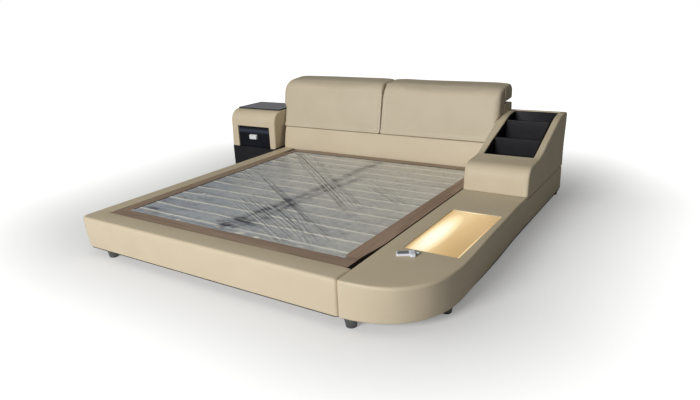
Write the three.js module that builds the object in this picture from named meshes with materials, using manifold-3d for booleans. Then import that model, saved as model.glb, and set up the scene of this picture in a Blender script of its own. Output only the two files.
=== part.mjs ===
// Low upholstered platform bed with a side chaise, an open bookcase, two tilting headrests,
// a lit glass panel and a bedside cabinet. Millimetres, +Z up, +Y towards the headboard,
// +X towards the chaise. Inside the bed group X = 0 is the left edge of the mattress recess
// and Y = 0 its foot edge; at the end the whole group is centred over the floor.
import * as THREE from 'three';
import { mergeVertices } from 'three/addons/utils/BufferGeometryUtils.js';
import Module from 'manifold-3d';

const wasm = await Module();
wasm.setup();

// Clearances shared by every piece
const seat_gap = 0.3;
const running_gap = 2;
const cut_overrun = 5;

// Mattress recess and the height of the platform around it
const recess_width = 1944;
const recess_length = 2040;
const platform_top = 256;
const ground_clearance = 52;

// Upholstered surround
const side_rail_width = 119;
const foot_panel_depth = 150;
const foot_corner_radius = 45;
const foot_end_taper = 45;
const panel_edge_radius = 18;
const seam_corner_radius = 22;
const chaise_width = 454;
const chaise_curve_length = 530;
const chaise_corner_share = 0.71;

// Headboard
const headboard_depth = 400;
const headboard_lean = 105;
const headboard_end_inset = 4;
const headrest_overhang = 26;
const lower_panel_top = 456;
const cushion_thickness = 120;
const cushion_crown = 12;
const lower_panel_crown = 6;
const cushion_edge_radius = 24;
const cushion_seam_radius = 10;
const block_edge_radius = 10;
const cushion_split = 4;
const frame_top = 735;
const frame_back_drop = 8;
const frame_corner_radius = 12;

// Tilting headrests
const pivot_setback = 12;
const knuckle_radius = 6;
const knuckle_side_gap = 1;
const headrest_front_rise = 113;
const headrest_top_rise = 23;
const headrest_top_radius = 40;
const notch_shelf_depth = 65;
const upper_fold_angle = 12;
const lower_fold_angle = 14;
const pin_radius = 2.4;
const pin_play = 0.2;
const hinge_length = 240;
const hinge_knuckles = 3;
const hinge_plate_width = 34;
const hinge_plate_thickness = 3;

// Bookcase cabinet on the back of the chaise
const cabinet_depth = 975;
const cabinet_height = 434;
const cabinet_base_drop = 22;
const cabinet_edge_radius = 14;
const cabinet_back_radius = 20;
const bin_side_wall = 50;
const bin_back_wall = 46;
const bin_length = 660;
const bin_count = 3;
const bin_depth_below_platform = 20;
const liner_thickness = 6;
const liner_recess = 5;
const divider_thickness = 12;
const divider_recess = 6;

// Light box under the lift-off glass panel
const light_width = 316;
const light_length = 682;
const light_side_margin = 30;
const light_setback = 352;
const light_depth = 92;
const tray_wall = 12;
const tray_floor = 6;
const glass_thickness = 9;
const glass_recess = 3;
const led_strip_width = 18;
const led_strip_height = 12;
const led_strip_inset = 14;
const led_strip_end_gap = 20;

// Slat platform
const board_thickness = 18;
const board_recess = 5;
const side_board_width = 75;
const foot_board_width = 112;
const head_board_width = 80;
const board_left_gap = 8;
const board_right_gap = 16;
const board_end_gap = 12;
const ledge_width = 122;
const ledge_height = 36;
const slat_count = 13;
const slat_width = 62;
const slat_thickness = 12;
const slat_bow = 5;
const cap_strip_height = 17;
const cap_insert = 26;
const cap_play = 0.4;
const beam_width = 44;
const beam_height = 40;
const beam_leg_size = 40;
const film_thickness = 1;

// Bedside cabinet
const stand_overall_reach = 581;
const stand_shell_gap = 29;
const stand_front_setback = 89;
const stand_back_inset = 12;
const stand_shell_bottom = 246;
const stand_shell_top = 604;
const stand_roll_radius = 104;
const stand_edge_radius = 14;
const stand_back_radius = 20;
const stand_leg_width = 76;
const stand_opening_top = 451;
const stand_back_panel = 50;
const plinth_edge_radius = 5;
const stand_glass_thickness = 11;
const stand_glass_front_gap = 3;
const stand_glass_side_inset = 14;
const stand_glass_back_inset = 8;
const drawer_front_recess = 10;
const drawer_front_thickness = 22;
const drawer_front_bevel = 14;
const drawer_wall = 12;
const drawer_floor = 8;
const drawer_lift = 12;
const drawer_height = 150;
const drawer_back_gap = 30;
const runner_thickness = 12;
const runner_height = 36;
const runner_lift = 60;
const handle_width = 104;
const handle_height = 54;
const handle_projection = 26;
const handle_slope = 10;
const handle_wall = 4;
const handle_drop = 74;

// Hand control lying on the chaise
const control_length = 78;
const control_width = 46;
const control_thickness = 12;
const control_corner_radius = 7;
const control_head_length = 26;
const control_head_width = 62;
const control_head_thickness = 15;
const control_key_border = 6;
const control_key_thickness = 1.6;
const control_knob_radius = 8;
const control_knob_height = 9;
const control_knob_gap = 3;
const control_turn = 32;
const control_from_glass = 88;
const control_from_side = 150;

// Round feet
const foot_top_radius = 37;
const foot_bottom_radius = 28;
const foot_rim_height = 8;
const foot_edge_inset = 40;
const foot_left_setback = 246;
const foot_seam_setback = 52;
const foot_side_inset = 47;
const foot_chaise_setback = 386;

// How finely round shapes are divided
const edge_segments = 3;
const round_segments = 24;
const arc_segments = 3;
const chaise_curve_segments = 10;
const chaise_corner_segments = 20;
const cushion_steps = 8;
const point_spacing = 0.01;

// Places worked out from the sizes above
const left_edge = -side_rail_width;
const right_edge = recess_width + chaise_width;
const front_edge = -foot_panel_depth;
const back_edge = recess_length + headboard_depth;
const head_left = left_edge + headboard_end_inset;
const head_right = recess_width - seat_gap;
const cushion_middle = (head_left + head_right) / 2;
const lean_slope = headboard_lean / (frame_top - platform_top);
const cushion_back = recess_length + cushion_thickness;
const pivot_height = frame_top + knuckle_side_gap + knuckle_radius;
const block_bottom = pivot_height + knuckle_radius + knuckle_side_gap;
const headrest_front_height = block_bottom + headrest_front_rise;
const headrest_back_height = headrest_front_height + headrest_top_rise;
const fold_line = cushion_back + headboard_lean;
const pivot_depth = fold_line + pivot_setback;
const cabinet_front = back_edge - cabinet_depth;
const cabinet_bottom = platform_top - cabinet_base_drop;
const overhang_bottom = cabinet_bottom + cabinet_height + seat_gap * 2;
const board_top = platform_top - board_recess;
const board_bottom = board_top - board_thickness;

const degree = Math.PI / 180;

function face_front(height) {
  return recess_length + lean_slope * Math.max(height - platform_top, 0);
}

function pad_back(height) {
  return face_front(height) + cushion_thickness;
}

// Geometry helpers
function bare(geometry) {
  const copy = geometry.clone();
  copy.deleteAttribute('normal');
  copy.deleteAttribute('uv');
  const merged = mergeVertices(copy);
  const index = merged.index.array;
  const kept = [];
  for (let i = 0; i < index.length; i += 3) {
    const [a, b, c] = [index[i], index[i + 1], index[i + 2]];
    if (a !== b && b !== c && c !== a) kept.push(a, b, c);
  }
  merged.setIndex(kept);
  return merged;
}

function to_solid(geometry) {
  const closed = bare(geometry);
  const mesh = new wasm.Mesh({
    numProp: 3,
    vertProperties: new Float32Array(closed.attributes.position.array),
    triVerts: new Uint32Array(closed.index.array),
  });
  return new wasm.Manifold(mesh);
}

function to_geometry(solid) {
  const mesh = solid.getMesh();
  const geometry = new THREE.BufferGeometry();
  const points = new Float32Array(mesh.numVert * 3);
  for (let i = 0; i < mesh.numVert; i += 1) {
    for (let k = 0; k < 3; k += 1) {
      points[i * 3 + k] = mesh.vertProperties[i * mesh.numProp + k];
    }
  }
  geometry.setAttribute('position', new THREE.BufferAttribute(points, 3));
  geometry.setIndex(new THREE.BufferAttribute(new Uint32Array(mesh.triVerts), 1));
  return geometry;
}

function cut(geometry, ...tools) {
  return to_geometry(tools.reduce((solid, tool) => solid.subtract(to_solid(tool)), to_solid(geometry)));
}

function join(geometry, ...others) {
  return to_geometry(others.reduce((solid, other) => solid.add(to_solid(other)), to_solid(geometry)));
}

function common(geometry, other) {
  return to_geometry(to_solid(geometry).intersect(to_solid(other)));
}

function block(x0, x1, y0, y1, z0, z1) {
  const geometry = new THREE.BoxGeometry(x1 - x0, y1 - y0, z1 - z0);
  geometry.translate((x0 + x1) / 2, (y0 + y1) / 2, (z0 + z1) / 2);
  return geometry;
}

// The drawn outline as points, without the doubled ones where an arc meets a line
function traced(shape, divisions) {
  const points = shape.getPoints(divisions);
  const spaced = points.filter((point, i) => {
    const before = points[(i + points.length - 1) % points.length];
    return point.distanceTo(before) > point_spacing;
  });
  return new THREE.Shape(spaced);
}

// Extrusion with rounded end edges that stays inside the drawn outline
function soft_extrude(shape, length, radius, steps = 1, divisions = arc_segments) {
  const geometry = new THREE.ExtrudeGeometry(traced(shape, divisions), {
    depth: length - 2 * radius,
    bevelEnabled: radius > 0,
    bevelThickness: radius,
    bevelSize: radius,
    bevelOffset: -radius,
    bevelSegments: edge_segments,
    steps,
  });
  geometry.translate(0, 0, radius);
  return geometry;
}

// Plan outline raised from one height to another
function plan_pad(shape, z0, z1, radius, divisions) {
  const geometry = soft_extrude(shape, z1 - z0, radius, 1, divisions);
  geometry.translate(0, 0, z0);
  return geometry;
}

// Side outline, drawn in depth and height, carried across from x0 to x1
function across(shape, x0, x1, radius, steps) {
  const geometry = soft_extrude(shape, x1 - x0, radius, steps);
  const turn = new THREE.Matrix4().makeBasis(
    new THREE.Vector3(0, 1, 0),
    new THREE.Vector3(0, 0, 1),
    new THREE.Vector3(1, 0, 0),
  );
  geometry.applyMatrix4(turn);
  geometry.translate(x0, 0, 0);
  return geometry;
}

function rectangle(x0, x1, y0, y1, radius) {
  const shape = new THREE.Shape();
  shape.moveTo(x0 + radius, y0);
  shape.lineTo(x1 - radius, y0);
  shape.absarc(x1 - radius, y0 + radius, radius, -Math.PI / 2, 0, false);
  shape.lineTo(x1, y1 - radius);
  shape.absarc(x1 - radius, y1 - radius, radius, 0, Math.PI / 2, false);
  shape.lineTo(x0 + radius, y1);
  shape.absarc(x0 + radius, y1 - radius, radius, Math.PI / 2, Math.PI, false);
  shape.lineTo(x0, y0 + radius);
  shape.absarc(x0 + radius, y0 + radius, radius, Math.PI, 1.5 * Math.PI, false);
  return shape;
}

// Closed outline through straight points, each given as depth and height
function outline(points) {
  return new THREE.Shape(points.map(([along, up]) => new THREE.Vector2(along, up)));
}

function reshape(geometry, change) {
  const place = geometry.attributes.position;
  for (let i = 0; i < place.count; i += 1) {
    const point = new THREE.Vector3().fromBufferAttribute(place, i);
    change(point);
    place.setXYZ(i, point.x, point.y, point.z);
  }
  return geometry;
}

// Bar lying along X, for pins and knuckles
function round_bar(radius, x0, x1, y, z) {
  const geometry = new THREE.CylinderGeometry(radius, radius, x1 - x0, round_segments);
  geometry.rotateZ(-Math.PI / 2);
  geometry.translate((x0 + x1) / 2, y, z);
  return geometry;
}

// Finishes
const finishes = {
  leather: { color: '#d3c4a2', roughness: 0.55, metalness: 0 },
  black_leather: { color: '#242529', roughness: 0.5, metalness: 0 },
  wood: { color: '#8b7566', roughness: 0.7, metalness: 0 },
  slat_wood: { color: '#b9a98e', roughness: 0.65, metalness: 0 },
  rubber: { color: '#2b2b2d', roughness: 0.8, metalness: 0 },
  steel: { color: '#3a3b3d', roughness: 0.4, metalness: 0.8 },
  bright_metal: { color: '#d4d6d8', roughness: 0.25, metalness: 0.9 },
  film: { color: '#c3c6c8', roughness: 0.2, metalness: 0 },
  dark_glass: { color: '#2c2f36', roughness: 0.1, metalness: 0 },
  frosted_glass: { color: '#fff0cf', roughness: 0.6, metalness: 0 },
  white_board: { color: '#e9e2d2', roughness: 0.6, metalness: 0 },
  light_plastic: { color: '#d9dce0', roughness: 0.4, metalness: 0 },
  grey_plastic: { color: '#878b93', roughness: 0.5, metalness: 0 },
};

const bed = new THREE.Group();

function add(name, finish, geometry) {
  const material = new THREE.MeshStandardMaterial(finishes[finish]);
  const mesh = new THREE.Mesh(bare(geometry), material);
  mesh.name = name;
  bed.add(mesh);
  return mesh;
}

// Padded panel across the foot end; its left end leans in towards the floor
function foot_panel() {
  const shape = new THREE.Shape();
  const right = recess_width - seat_gap;
  const corner = foot_corner_radius;
  const seam = seam_corner_radius;
  shape.moveTo(left_edge + corner, front_edge);
  shape.lineTo(right - seam, front_edge);
  shape.absarc(right - seam, front_edge + seam, seam, -Math.PI / 2, 0, false);
  shape.lineTo(right, 0);
  shape.lineTo(left_edge, 0);
  shape.lineTo(left_edge, front_edge + corner);
  shape.absarc(left_edge + corner, front_edge + corner, corner, Math.PI, 1.5 * Math.PI, false);
  const geometry = plan_pad(shape, ground_clearance, platform_top, panel_edge_radius);
  reshape(geometry, (point) => {
    const drop = (platform_top - point.z) / (platform_top - ground_clearance);
    const end = THREE.MathUtils.clamp(-point.x / side_rail_width, 0, 1);
    point.x += foot_end_taper * drop * end;
  });
  add('foot_panel', 'leather', geometry);
}

function left_rail() {
  const shape = rectangle(left_edge, 0, seat_gap, recess_length - seat_gap, seam_corner_radius);
  add('left_rail', 'leather', plan_pad(shape, ground_clearance, platform_top, panel_edge_radius));
}

// Pocket in the chaise top that takes the light box
function light_pocket() {
  const right = right_edge - light_side_margin;
  return {
    x0: right - light_width,
    x1: right,
    y0: light_setback,
    y1: light_setback + light_length,
    z0: platform_top - light_depth,
  };
}

// Points of the chaise's front corner, which is fuller than a quarter ellipse
function chaise_corner(x0, x1, y0, y1) {
  const pull_x = (x1 - x0) * chaise_corner_share;
  const pull_y = (y1 - y0) * chaise_corner_share;
  const curve = new THREE.CubicBezierCurve(
    new THREE.Vector2(x0, y0),
    new THREE.Vector2(x0 + pull_x, y0),
    new THREE.Vector2(x1, y1 - pull_y),
    new THREE.Vector2(x1, y1),
  );
  return curve.getPoints(chaise_corner_segments);
}

// Long side seat with a full, rounded front corner; its top steps down under the bookcase cabinet
function chaise_body() {
  const shape = new THREE.Shape();
  const seam = seam_corner_radius;
  const curve_end = front_edge + chaise_curve_length;
  shape.moveTo(recess_width, front_edge + seam);
  shape.absarc(recess_width + seam, front_edge + seam, seam, Math.PI, 1.5 * Math.PI, false);
  const corner = chaise_corner(recess_width + seam, right_edge, front_edge, curve_end);
  corner.slice(1).forEach((point) => shape.lineTo(point.x, point.y));
  shape.lineTo(right_edge, back_edge - seam);
  shape.absarc(right_edge - seam, back_edge - seam, seam, 0, Math.PI / 2, false);
  shape.lineTo(recess_width, back_edge);
  const body = plan_pad(shape, ground_clearance, platform_top, panel_edge_radius, chaise_curve_segments);
  const step = block(
    recess_width - cut_overrun, right_edge + cut_overrun,
    cabinet_front, back_edge + cut_overrun,
    cabinet_bottom, platform_top + cut_overrun,
  );
  const pocket = light_pocket();
  const well = block(pocket.x0, pocket.x1, pocket.y0, pocket.y1, pocket.z0, platform_top + cut_overrun);
  add('chaise_body', 'leather', cut(body, step, well));
}

// Space that the bookcase takes below the overhanging right end of the headboard
function bookcase_room() {
  const end = head_right + headrest_overhang + cut_overrun;
  return block(
    head_right, end, recess_length - cut_overrun, back_edge + cut_overrun,
    ground_clearance - cut_overrun, overhang_bottom,
  );
}

// Fixed wooden core of the headboard, wrapped at the back; a shelf at its top holds the hinges
function headboard_frame() {
  const radius = frame_corner_radius;
  const back_top = frame_top - frame_back_drop;
  const shape = new THREE.Shape();
  shape.moveTo(cushion_back, ground_clearance);
  shape.lineTo(back_edge, ground_clearance);
  shape.lineTo(back_edge, back_top - radius);
  shape.absarc(back_edge - radius, back_top - radius, radius, 0, Math.PI / 2, false);
  shape.lineTo(fold_line + notch_shelf_depth, frame_top);
  shape.lineTo(fold_line, frame_top);
  shape.lineTo(cushion_back, platform_top);
  const core = across(shape, head_left, head_right + headrest_overhang, 0);
  add('headboard_frame', 'leather', cut(core, bookcase_room()));
}

// How far a pad's front stands forward at a height: fullest halfway, nothing at either edge
function crown_at(height, z0, z1, amount) {
  const rise = (2 * height - z0 - z1) / (z1 - z0);
  return amount * Math.max(1 - rise ** 2, 0);
}

// Points up the front of a headboard pad, which leans back with height and swells forward
function crowned_front(heights, z0, z1, amount) {
  return heights.map((height) => [face_front(height) - crown_at(height, z0, z1, amount), height]);
}

// The crown fades out towards both ends of a pad
function draw_in_ends(geometry, x0, x1, z0, z1, amount) {
  return reshape(geometry, (point) => {
    const side = THREE.MathUtils.clamp((2 * point.x - x0 - x1) / (x1 - x0), -1, 1);
    const front = (pad_back(point.z) - point.y) / cushion_thickness;
    point.y += crown_at(point.z, z0, z1, amount) * side ** 6 * THREE.MathUtils.clamp(front, 0, 1);
  });
}

// Heights along a front face, from the lower to the upper edge
function face_heights(z0, z1) {
  const count = cushion_steps;
  return Array.from({ length: count + 1 }, (_, i) => z0 + (z1 - z0) * (i / count));
}

function headboard_lower_panel() {
  const z0 = ground_clearance + seat_gap;
  const z1 = lower_panel_top - seat_gap;
  const seam = cushion_seam_radius;
  const heights = face_heights(platform_top, z1 - seam).slice(1);
  const points = [
    [cushion_back - seat_gap, z0],
    [recess_length, z0],
    [recess_length, platform_top],
    ...crowned_front(heights, platform_top, z1, lower_panel_crown),
    [face_front(z1) + seam, z1],
    [pad_back(z1) - seat_gap, z1],
    [cushion_back - seat_gap, platform_top],
  ];
  const geometry = across(outline(points.reverse()), head_left, head_right, seam, cushion_steps);
  draw_in_ends(geometry, head_left, head_right, platform_top, z1, lower_panel_crown);
  add('headboard_lower_panel', 'leather', geometry);
}

// Fixed half of each back cushion, from the sewn seam up to the fold
function cushion_lower(side, x0, x1) {
  const z0 = lower_panel_top + seat_gap;
  const back_top = frame_top;
  const fall = Math.tan(lower_fold_angle * degree);
  const z1 = back_top - cushion_thickness * fall;
  const round = cushion_edge_radius;
  const crown_top = 2 * z1 - z0;
  const points = [
    [pad_back(z0) - seat_gap, z0],
    [face_front(z0) + round, z0],
    ...crowned_front(face_heights(z0 + round, z1), z0, crown_top, cushion_crown),
    [fold_line - seat_gap, back_top],
  ];
  const geometry = across(outline(points.reverse()), x0, x1, round, cushion_steps);
  const pad = draw_in_ends(geometry, x0, x1, z0, crown_top, cushion_crown);
  add(`cushion_lower_${side}`, 'leather', side === 'right' ? cut(pad, bookcase_room()) : pad);
}

// Tilting half of each back cushion, from the fold over the rounded top edge
function cushion_upper(side, x0, x1) {
  const back = fold_line - seat_gap;
  const rise = Math.tan(upper_fold_angle * degree);
  const z0 = block_bottom + cushion_thickness * rise;
  const z1 = headrest_front_height;
  const crown_bottom = 2 * z0 - z1;
  const radius = headrest_top_radius;
  const front = crowned_front([z0, z1 - radius], crown_bottom, z1, cushion_crown);
  const corner_y = front[1][0] + radius;
  const corner = [];
  for (let i = 1; i <= arc_segments; i += 1) {
    const turn = (i / arc_segments) * (Math.PI / 2);
    corner.push([corner_y - radius * Math.cos(turn), z1 - radius + radius * Math.sin(turn)]);
  }
  const top_share = (back - corner_y) / (back_edge - corner_y);
  const back_top = z1 + (headrest_back_height - z1) * top_share;
  const points = [[back, block_bottom], ...front, ...corner, [back, back_top]];
  const geometry = across(outline(points.reverse()), x0, x1, cushion_edge_radius, cushion_steps);
  add(`cushion_upper_${side}`, 'leather', draw_in_ends(geometry, x0, x1, crown_bottom, z1, cushion_crown));
}

// Stiff block behind the tilting cushion; the open notch below it lets it tip back
function headrest_block(side, x0, x1) {
  const front = fold_line;
  const radius = headrest_top_radius;
  const corner_y = face_front(headrest_front_height - radius) + radius;
  const front_share = (front - corner_y) / (back_edge - corner_y);
  const front_top = headrest_front_height + (headrest_back_height - headrest_front_height) * front_share;
  const round = frame_corner_radius;
  const back_bottom = block_bottom + frame_back_drop;
  const shape = new THREE.Shape();
  shape.moveTo(front, block_bottom);
  shape.lineTo(front + notch_shelf_depth, block_bottom);
  shape.lineTo(back_edge - round, back_bottom);
  shape.absarc(back_edge - round, back_bottom + round, round, -Math.PI / 2, 0, false);
  shape.lineTo(back_edge, headrest_back_height - radius);
  shape.absarc(back_edge - radius, headrest_back_height - radius, radius, 0, Math.PI / 2, false);
  shape.lineTo(front, front_top);
  add(`headrest_block_${side}`, 'leather', across(shape, x0, x1, block_edge_radius));
}

// Hinge of one headrest: the fixed leaf carries the pin, the moving leaf turns on it
function headrest_hinge(side, middle) {
  const knuckle = hinge_length / hinge_knuckles;
  const x0 = middle - hinge_length / 2;
  const x1 = middle + hinge_length / 2;
  const plate_front = pivot_depth;
  const plate_back = plate_front + hinge_plate_width;
  const fixed_bottom = frame_top + seat_gap;
  const fixed_plate = block(
    x0, x1, plate_front, plate_back, fixed_bottom, fixed_bottom + hinge_plate_thickness,
  );
  const relief_radius = knuckle_radius + running_gap / 2;
  const clear = seat_gap;
  const fixed_relief = round_bar(relief_radius, x0 + knuckle, x1 - knuckle, pivot_depth, pivot_height);
  const fixed = join(
    cut(fixed_plate, fixed_relief),
    round_bar(knuckle_radius, x0, x0 + knuckle - clear, pivot_depth, pivot_height),
    round_bar(knuckle_radius, x1 - knuckle + clear, x1, pivot_depth, pivot_height),
    round_bar(pin_radius, x0 + cut_overrun, x1 - cut_overrun, pivot_depth, pivot_height),
  );
  add(`hinge_fixed_${side}`, 'steel', fixed);
  const moving_top = block_bottom - seat_gap;
  const moving_plate = block(x0, x1, plate_front, plate_back, moving_top - hinge_plate_thickness, moving_top);
  const left_relief = round_bar(relief_radius, x0 - cut_overrun, x0 + knuckle, pivot_depth, pivot_height);
  const right_relief = round_bar(relief_radius, x1 - knuckle, x1 + cut_overrun, pivot_depth, pivot_height);
  const barrel = round_bar(knuckle_radius, x0 + knuckle, x1 - knuckle, pivot_depth, pivot_height);
  const bore = round_bar(pin_radius + pin_play, x0, x1, pivot_depth, pivot_height);
  const moving = cut(join(cut(moving_plate, left_relief, right_relief), barrel), bore);
  add(`hinge_moving_${side}`, 'steel', moving);
}

function headrests() {
  const halves = [
    ['left', head_left - headrest_overhang, cushion_middle - cushion_split / 2],
    ['right', cushion_middle + cushion_split / 2, head_right + headrest_overhang],
  ];
  for (const [side, x0, x1] of halves) {
    cushion_lower(side, x0, x1);
    cushion_upper(side, x0, x1);
    headrest_block(side, x0, x1);
    headrest_hinge(side, (x0 + x1) / 2);
  }
}

// Side outline of the bookcase: upright face, rolled shelf, long S-shaped slope, level top.
// Each entry is a line end, or a curve given by its control points and its end.
const cabinet_outline_shares = [
  [[0.012, 0.26]],
  [[0.02, 0.44], [0.055, 0.485], [0.13, 0.488]],
  [[0.235, 0.505]],
  [[0.3, 0.52], [0.36, 0.575], [0.44, 0.665]],
  [[0.63, 0.845]],
  [[0.71, 0.92], [0.76, 0.985], [0.86, 0.995]],
];

function cabinet_profile(drop) {
  const radius = cabinet_back_radius;
  const bottom = cabinet_bottom + seat_gap;
  const top = bottom + cabinet_height - drop;
  const at = ([along, up]) => [
    cabinet_front + along * cabinet_depth,
    bottom + up * cabinet_height - drop,
  ];
  const shape = new THREE.Shape();
  shape.moveTo(cabinet_front, bottom);
  shape.lineTo(back_edge, bottom);
  shape.lineTo(back_edge, top - radius);
  shape.absarc(back_edge - radius, top - radius, radius, 0, Math.PI / 2, false);
  const ends = cabinet_outline_shares.map((entry) => at(entry[entry.length - 1]));
  shape.lineTo(...ends[ends.length - 1]);
  for (let i = cabinet_outline_shares.length - 1; i > 0; i -= 1) {
    const entry = cabinet_outline_shares[i];
    if (entry.length === 3) {
      shape.bezierCurveTo(...at(entry[1]), ...at(entry[0]), ...ends[i - 1]);
    } else {
      shape.lineTo(...ends[i - 1]);
    }
  }
  return shape;
}

function bin_box() {
  const y1 = back_edge - bin_back_wall;
  return {
    x0: recess_width + bin_side_wall,
    x1: right_edge - bin_side_wall,
    y0: y1 - bin_length,
    y1,
    z0: platform_top - bin_depth_below_platform + 2 * liner_thickness,
    z1: cabinet_bottom + cabinet_height + cut_overrun,
  };
}

function cabinet() {
  const bin = bin_box();
  const body = across(cabinet_profile(0), recess_width, right_edge, cabinet_edge_radius);
  const hollow = block(bin.x0, bin.x1, bin.y0, bin.y1, bin.z0, bin.z1);
  add('cabinet_shell', 'leather', cut(body, hollow));

  const gap = seat_gap;
  const outer = block(bin.x0 + gap, bin.x1 - gap, bin.y0 + gap, bin.y1 - gap, bin.z0 + gap, bin.z1);
  const wall = liner_thickness + gap;
  const inner = block(
    bin.x0 + wall, bin.x1 - wall, bin.y0 + wall, bin.y1 - wall, bin.z0 + wall, bin.z1 + cut_overrun,
  );
  const limit = across(cabinet_profile(liner_recess), recess_width, right_edge, 0);
  add('cabinet_liner', 'black_leather', cut(common(outer, limit), inner));

  const level = across(cabinet_profile(liner_recess + divider_recess), recess_width, right_edge, 0);
  ['front', 'back'].forEach((place, i) => {
    const middle = bin.y0 + bin_length * (i + 1) / bin_count;
    const slice = block(
      bin.x0 + wall + gap, bin.x1 - wall - gap,
      middle - divider_thickness / 2, middle + divider_thickness / 2,
      bin.z0 + wall + gap, bin.z1,
    );
    add(`cabinet_divider_${place}`, 'black_leather', common(slice, level));
  });
}

// Open tray with a light strip; the glass panel rests loose on the tray's rim
function light_box() {
  const pocket = light_pocket();
  const gap = seat_gap;
  const glass_top = platform_top - glass_recess;
  const rim = glass_top - glass_thickness - gap;
  const outer = block(
    pocket.x0 + gap, pocket.x1 - gap, pocket.y0 + gap, pocket.y1 - gap, pocket.z0 + gap, rim,
  );
  const wall = tray_wall + gap;
  const inner = block(
    pocket.x0 + wall, pocket.x1 - wall, pocket.y0 + wall, pocket.y1 - wall,
    pocket.z0 + gap + tray_floor, rim + cut_overrun,
  );
  add('light_tray', 'white_board', cut(outer, inner));

  const strip_x = pocket.x0 + wall + led_strip_inset;
  const strip_z = pocket.z0 + gap + tray_floor + gap;
  const strip = block(
    strip_x, strip_x + led_strip_width,
    pocket.y0 + wall + led_strip_end_gap, pocket.y1 - wall - led_strip_end_gap,
    strip_z, strip_z + led_strip_height,
  );
  add('light_strip', 'light_plastic', strip);

  const edge = running_gap;
  const shape = rectangle(pocket.x0 + edge, pocket.x1 - edge, pocket.y0 + edge, pocket.y1 - edge, edge);
  add('glass_panel', 'frosted_glass', plan_pad(shape, rim + gap, glass_top, 0));
}

// Wooden cleat ring inside the recess that carries boards and slats
function slat_ledge() {
  const gap = seat_gap;
  const top = board_bottom - gap;
  const outer = block(gap, recess_width - gap, gap, recess_length - gap, top - ledge_height, top);
  const inner = block(
    ledge_width, recess_width - ledge_width, ledge_width, recess_length - ledge_width,
    top - ledge_height - cut_overrun, top + cut_overrun,
  );
  add('slat_ledge', 'wood', cut(outer, inner));
}

function board_frame() {
  return {
    x0: board_left_gap,
    x1: recess_width - board_right_gap,
    y0: board_end_gap,
    y1: recess_length - board_end_gap,
  };
}

function frame_boards() {
  const frame = board_frame();
  const gap = seat_gap;
  const side_y0 = frame.y0 + foot_board_width + gap;
  const side_y1 = frame.y1 - head_board_width - gap;
  const spans = {
    foot: [frame.x0, frame.x1, frame.y0, frame.y0 + foot_board_width],
    head: [frame.x0, frame.x1, frame.y1 - head_board_width, frame.y1],
    left: [frame.x0, frame.x0 + side_board_width, side_y0, side_y1],
    right: [frame.x1 - side_board_width, frame.x1, side_y0, side_y1],
  };
  for (const [place, [x0, x1, y0, y1]] of Object.entries(spans)) {
    add(`frame_board_${place}`, 'wood', block(x0, x1, y0, y1, board_bottom, board_top));
  }
}

// Slats sit in pockets of two cap strips and rest on the middle beam
function slat_place(index) {
  const frame = board_frame();
  const first = frame.y0 + foot_board_width;
  const last = frame.y1 - head_board_width;
  const pitch = (last - first) / slat_count;
  return first + pitch * (index + 0.5);
}

function slat_geometry(middle, x0, x1, play) {
  const bottom = board_bottom + seat_gap - play;
  const top = bottom + slat_thickness + 2 * play;
  const half = slat_width / 2 + play;
  const rise = slat_bow;
  const shape = outline([
    [middle - half, bottom],
    [middle + half, bottom],
    [middle + half, top - rise],
    [middle + half / 2, top - rise / 4],
    [middle, top],
    [middle - half / 2, top - rise / 4],
    [middle - half, top - rise],
  ]);
  return across(shape, x0, x1, 0);
}

function slats() {
  const frame = board_frame();
  const gap = seat_gap;
  const inner_left = frame.x0 + side_board_width + gap;
  const inner_right = frame.x1 - side_board_width - gap;
  const strip_left = Math.max(ledge_width, inner_left + cap_insert + gap);
  const strip_right = Math.min(recess_width - ledge_width, inner_right - cap_insert - gap);
  const end_left = inner_left + cap_play + gap;
  const end_right = inner_right - cap_play - gap;
  const y0 = frame.y0 + foot_board_width + gap;
  const y1 = frame.y1 - head_board_width - gap;
  const strips = { left: [inner_left, strip_left], right: [strip_right, inner_right] };
  for (const [side, [x0, x1]] of Object.entries(strips)) {
    const bar = block(x0, x1, y0, y1, board_bottom, board_bottom + cap_strip_height);
    const pockets = Array.from({ length: slat_count }, (_, i) => (
      slat_geometry(slat_place(i), end_left - gap, end_right + gap, gap)
    ));
    add(`slat_cap_strip_${side}`, 'rubber', cut(bar, ...pockets));
  }
  for (let i = 0; i < slat_count; i += 1) {
    const label = String(i + 1).padStart(2, '0');
    add(`slat_${label}`, 'slat_wood', slat_geometry(slat_place(i), end_left, end_right, 0));
  }
}

// Steel beam under the middle of the slats, with its legs welded on
const leg_place_shares = [0.2, 0.5, 0.8];

function centre_beam() {
  const middle = recess_width / 2;
  const gap = seat_gap;
  const top = board_bottom - gap;
  const y0 = ledge_width + gap;
  const y1 = recess_length - ledge_width - gap;
  const half = beam_width / 2;
  const beam = block(middle - half, middle + half, y0, y1, top - beam_height, top);
  const legs = leg_place_shares.map((share) => {
    const place = y0 + (y1 - y0) * share;
    const leg = beam_leg_size / 2;
    return block(middle - leg, middle + leg, place - leg, place + leg, 0, top - beam_height / 2);
  });
  add('centre_beam', 'steel', join(beam, ...legs));
}

// Clear wrapping film laid over the slats between the boards
function slat_film() {
  const frame = board_frame();
  const gap = seat_gap;
  const bottom = board_bottom + cap_strip_height + gap;
  const sheet = block(
    frame.x0 + side_board_width + gap, frame.x1 - side_board_width - gap,
    frame.y0 + foot_board_width + gap, frame.y1 - head_board_width - gap,
    bottom, bottom + film_thickness,
  );
  add('slat_film', 'film', sheet);
}

// Bedside cabinet against the left rail
function stand_sizes() {
  const x0 = left_edge - seat_gap - stand_overall_reach;
  const y0 = recess_length - stand_front_setback;
  return {
    x0,
    x1: left_edge - stand_shell_gap,
    y0,
    y1: back_edge - stand_back_inset,
    open_x0: x0 + stand_leg_width,
    open_x1: left_edge - stand_shell_gap - stand_leg_width,
    open_y1: back_edge - stand_back_inset - stand_back_panel,
  };
}

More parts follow.
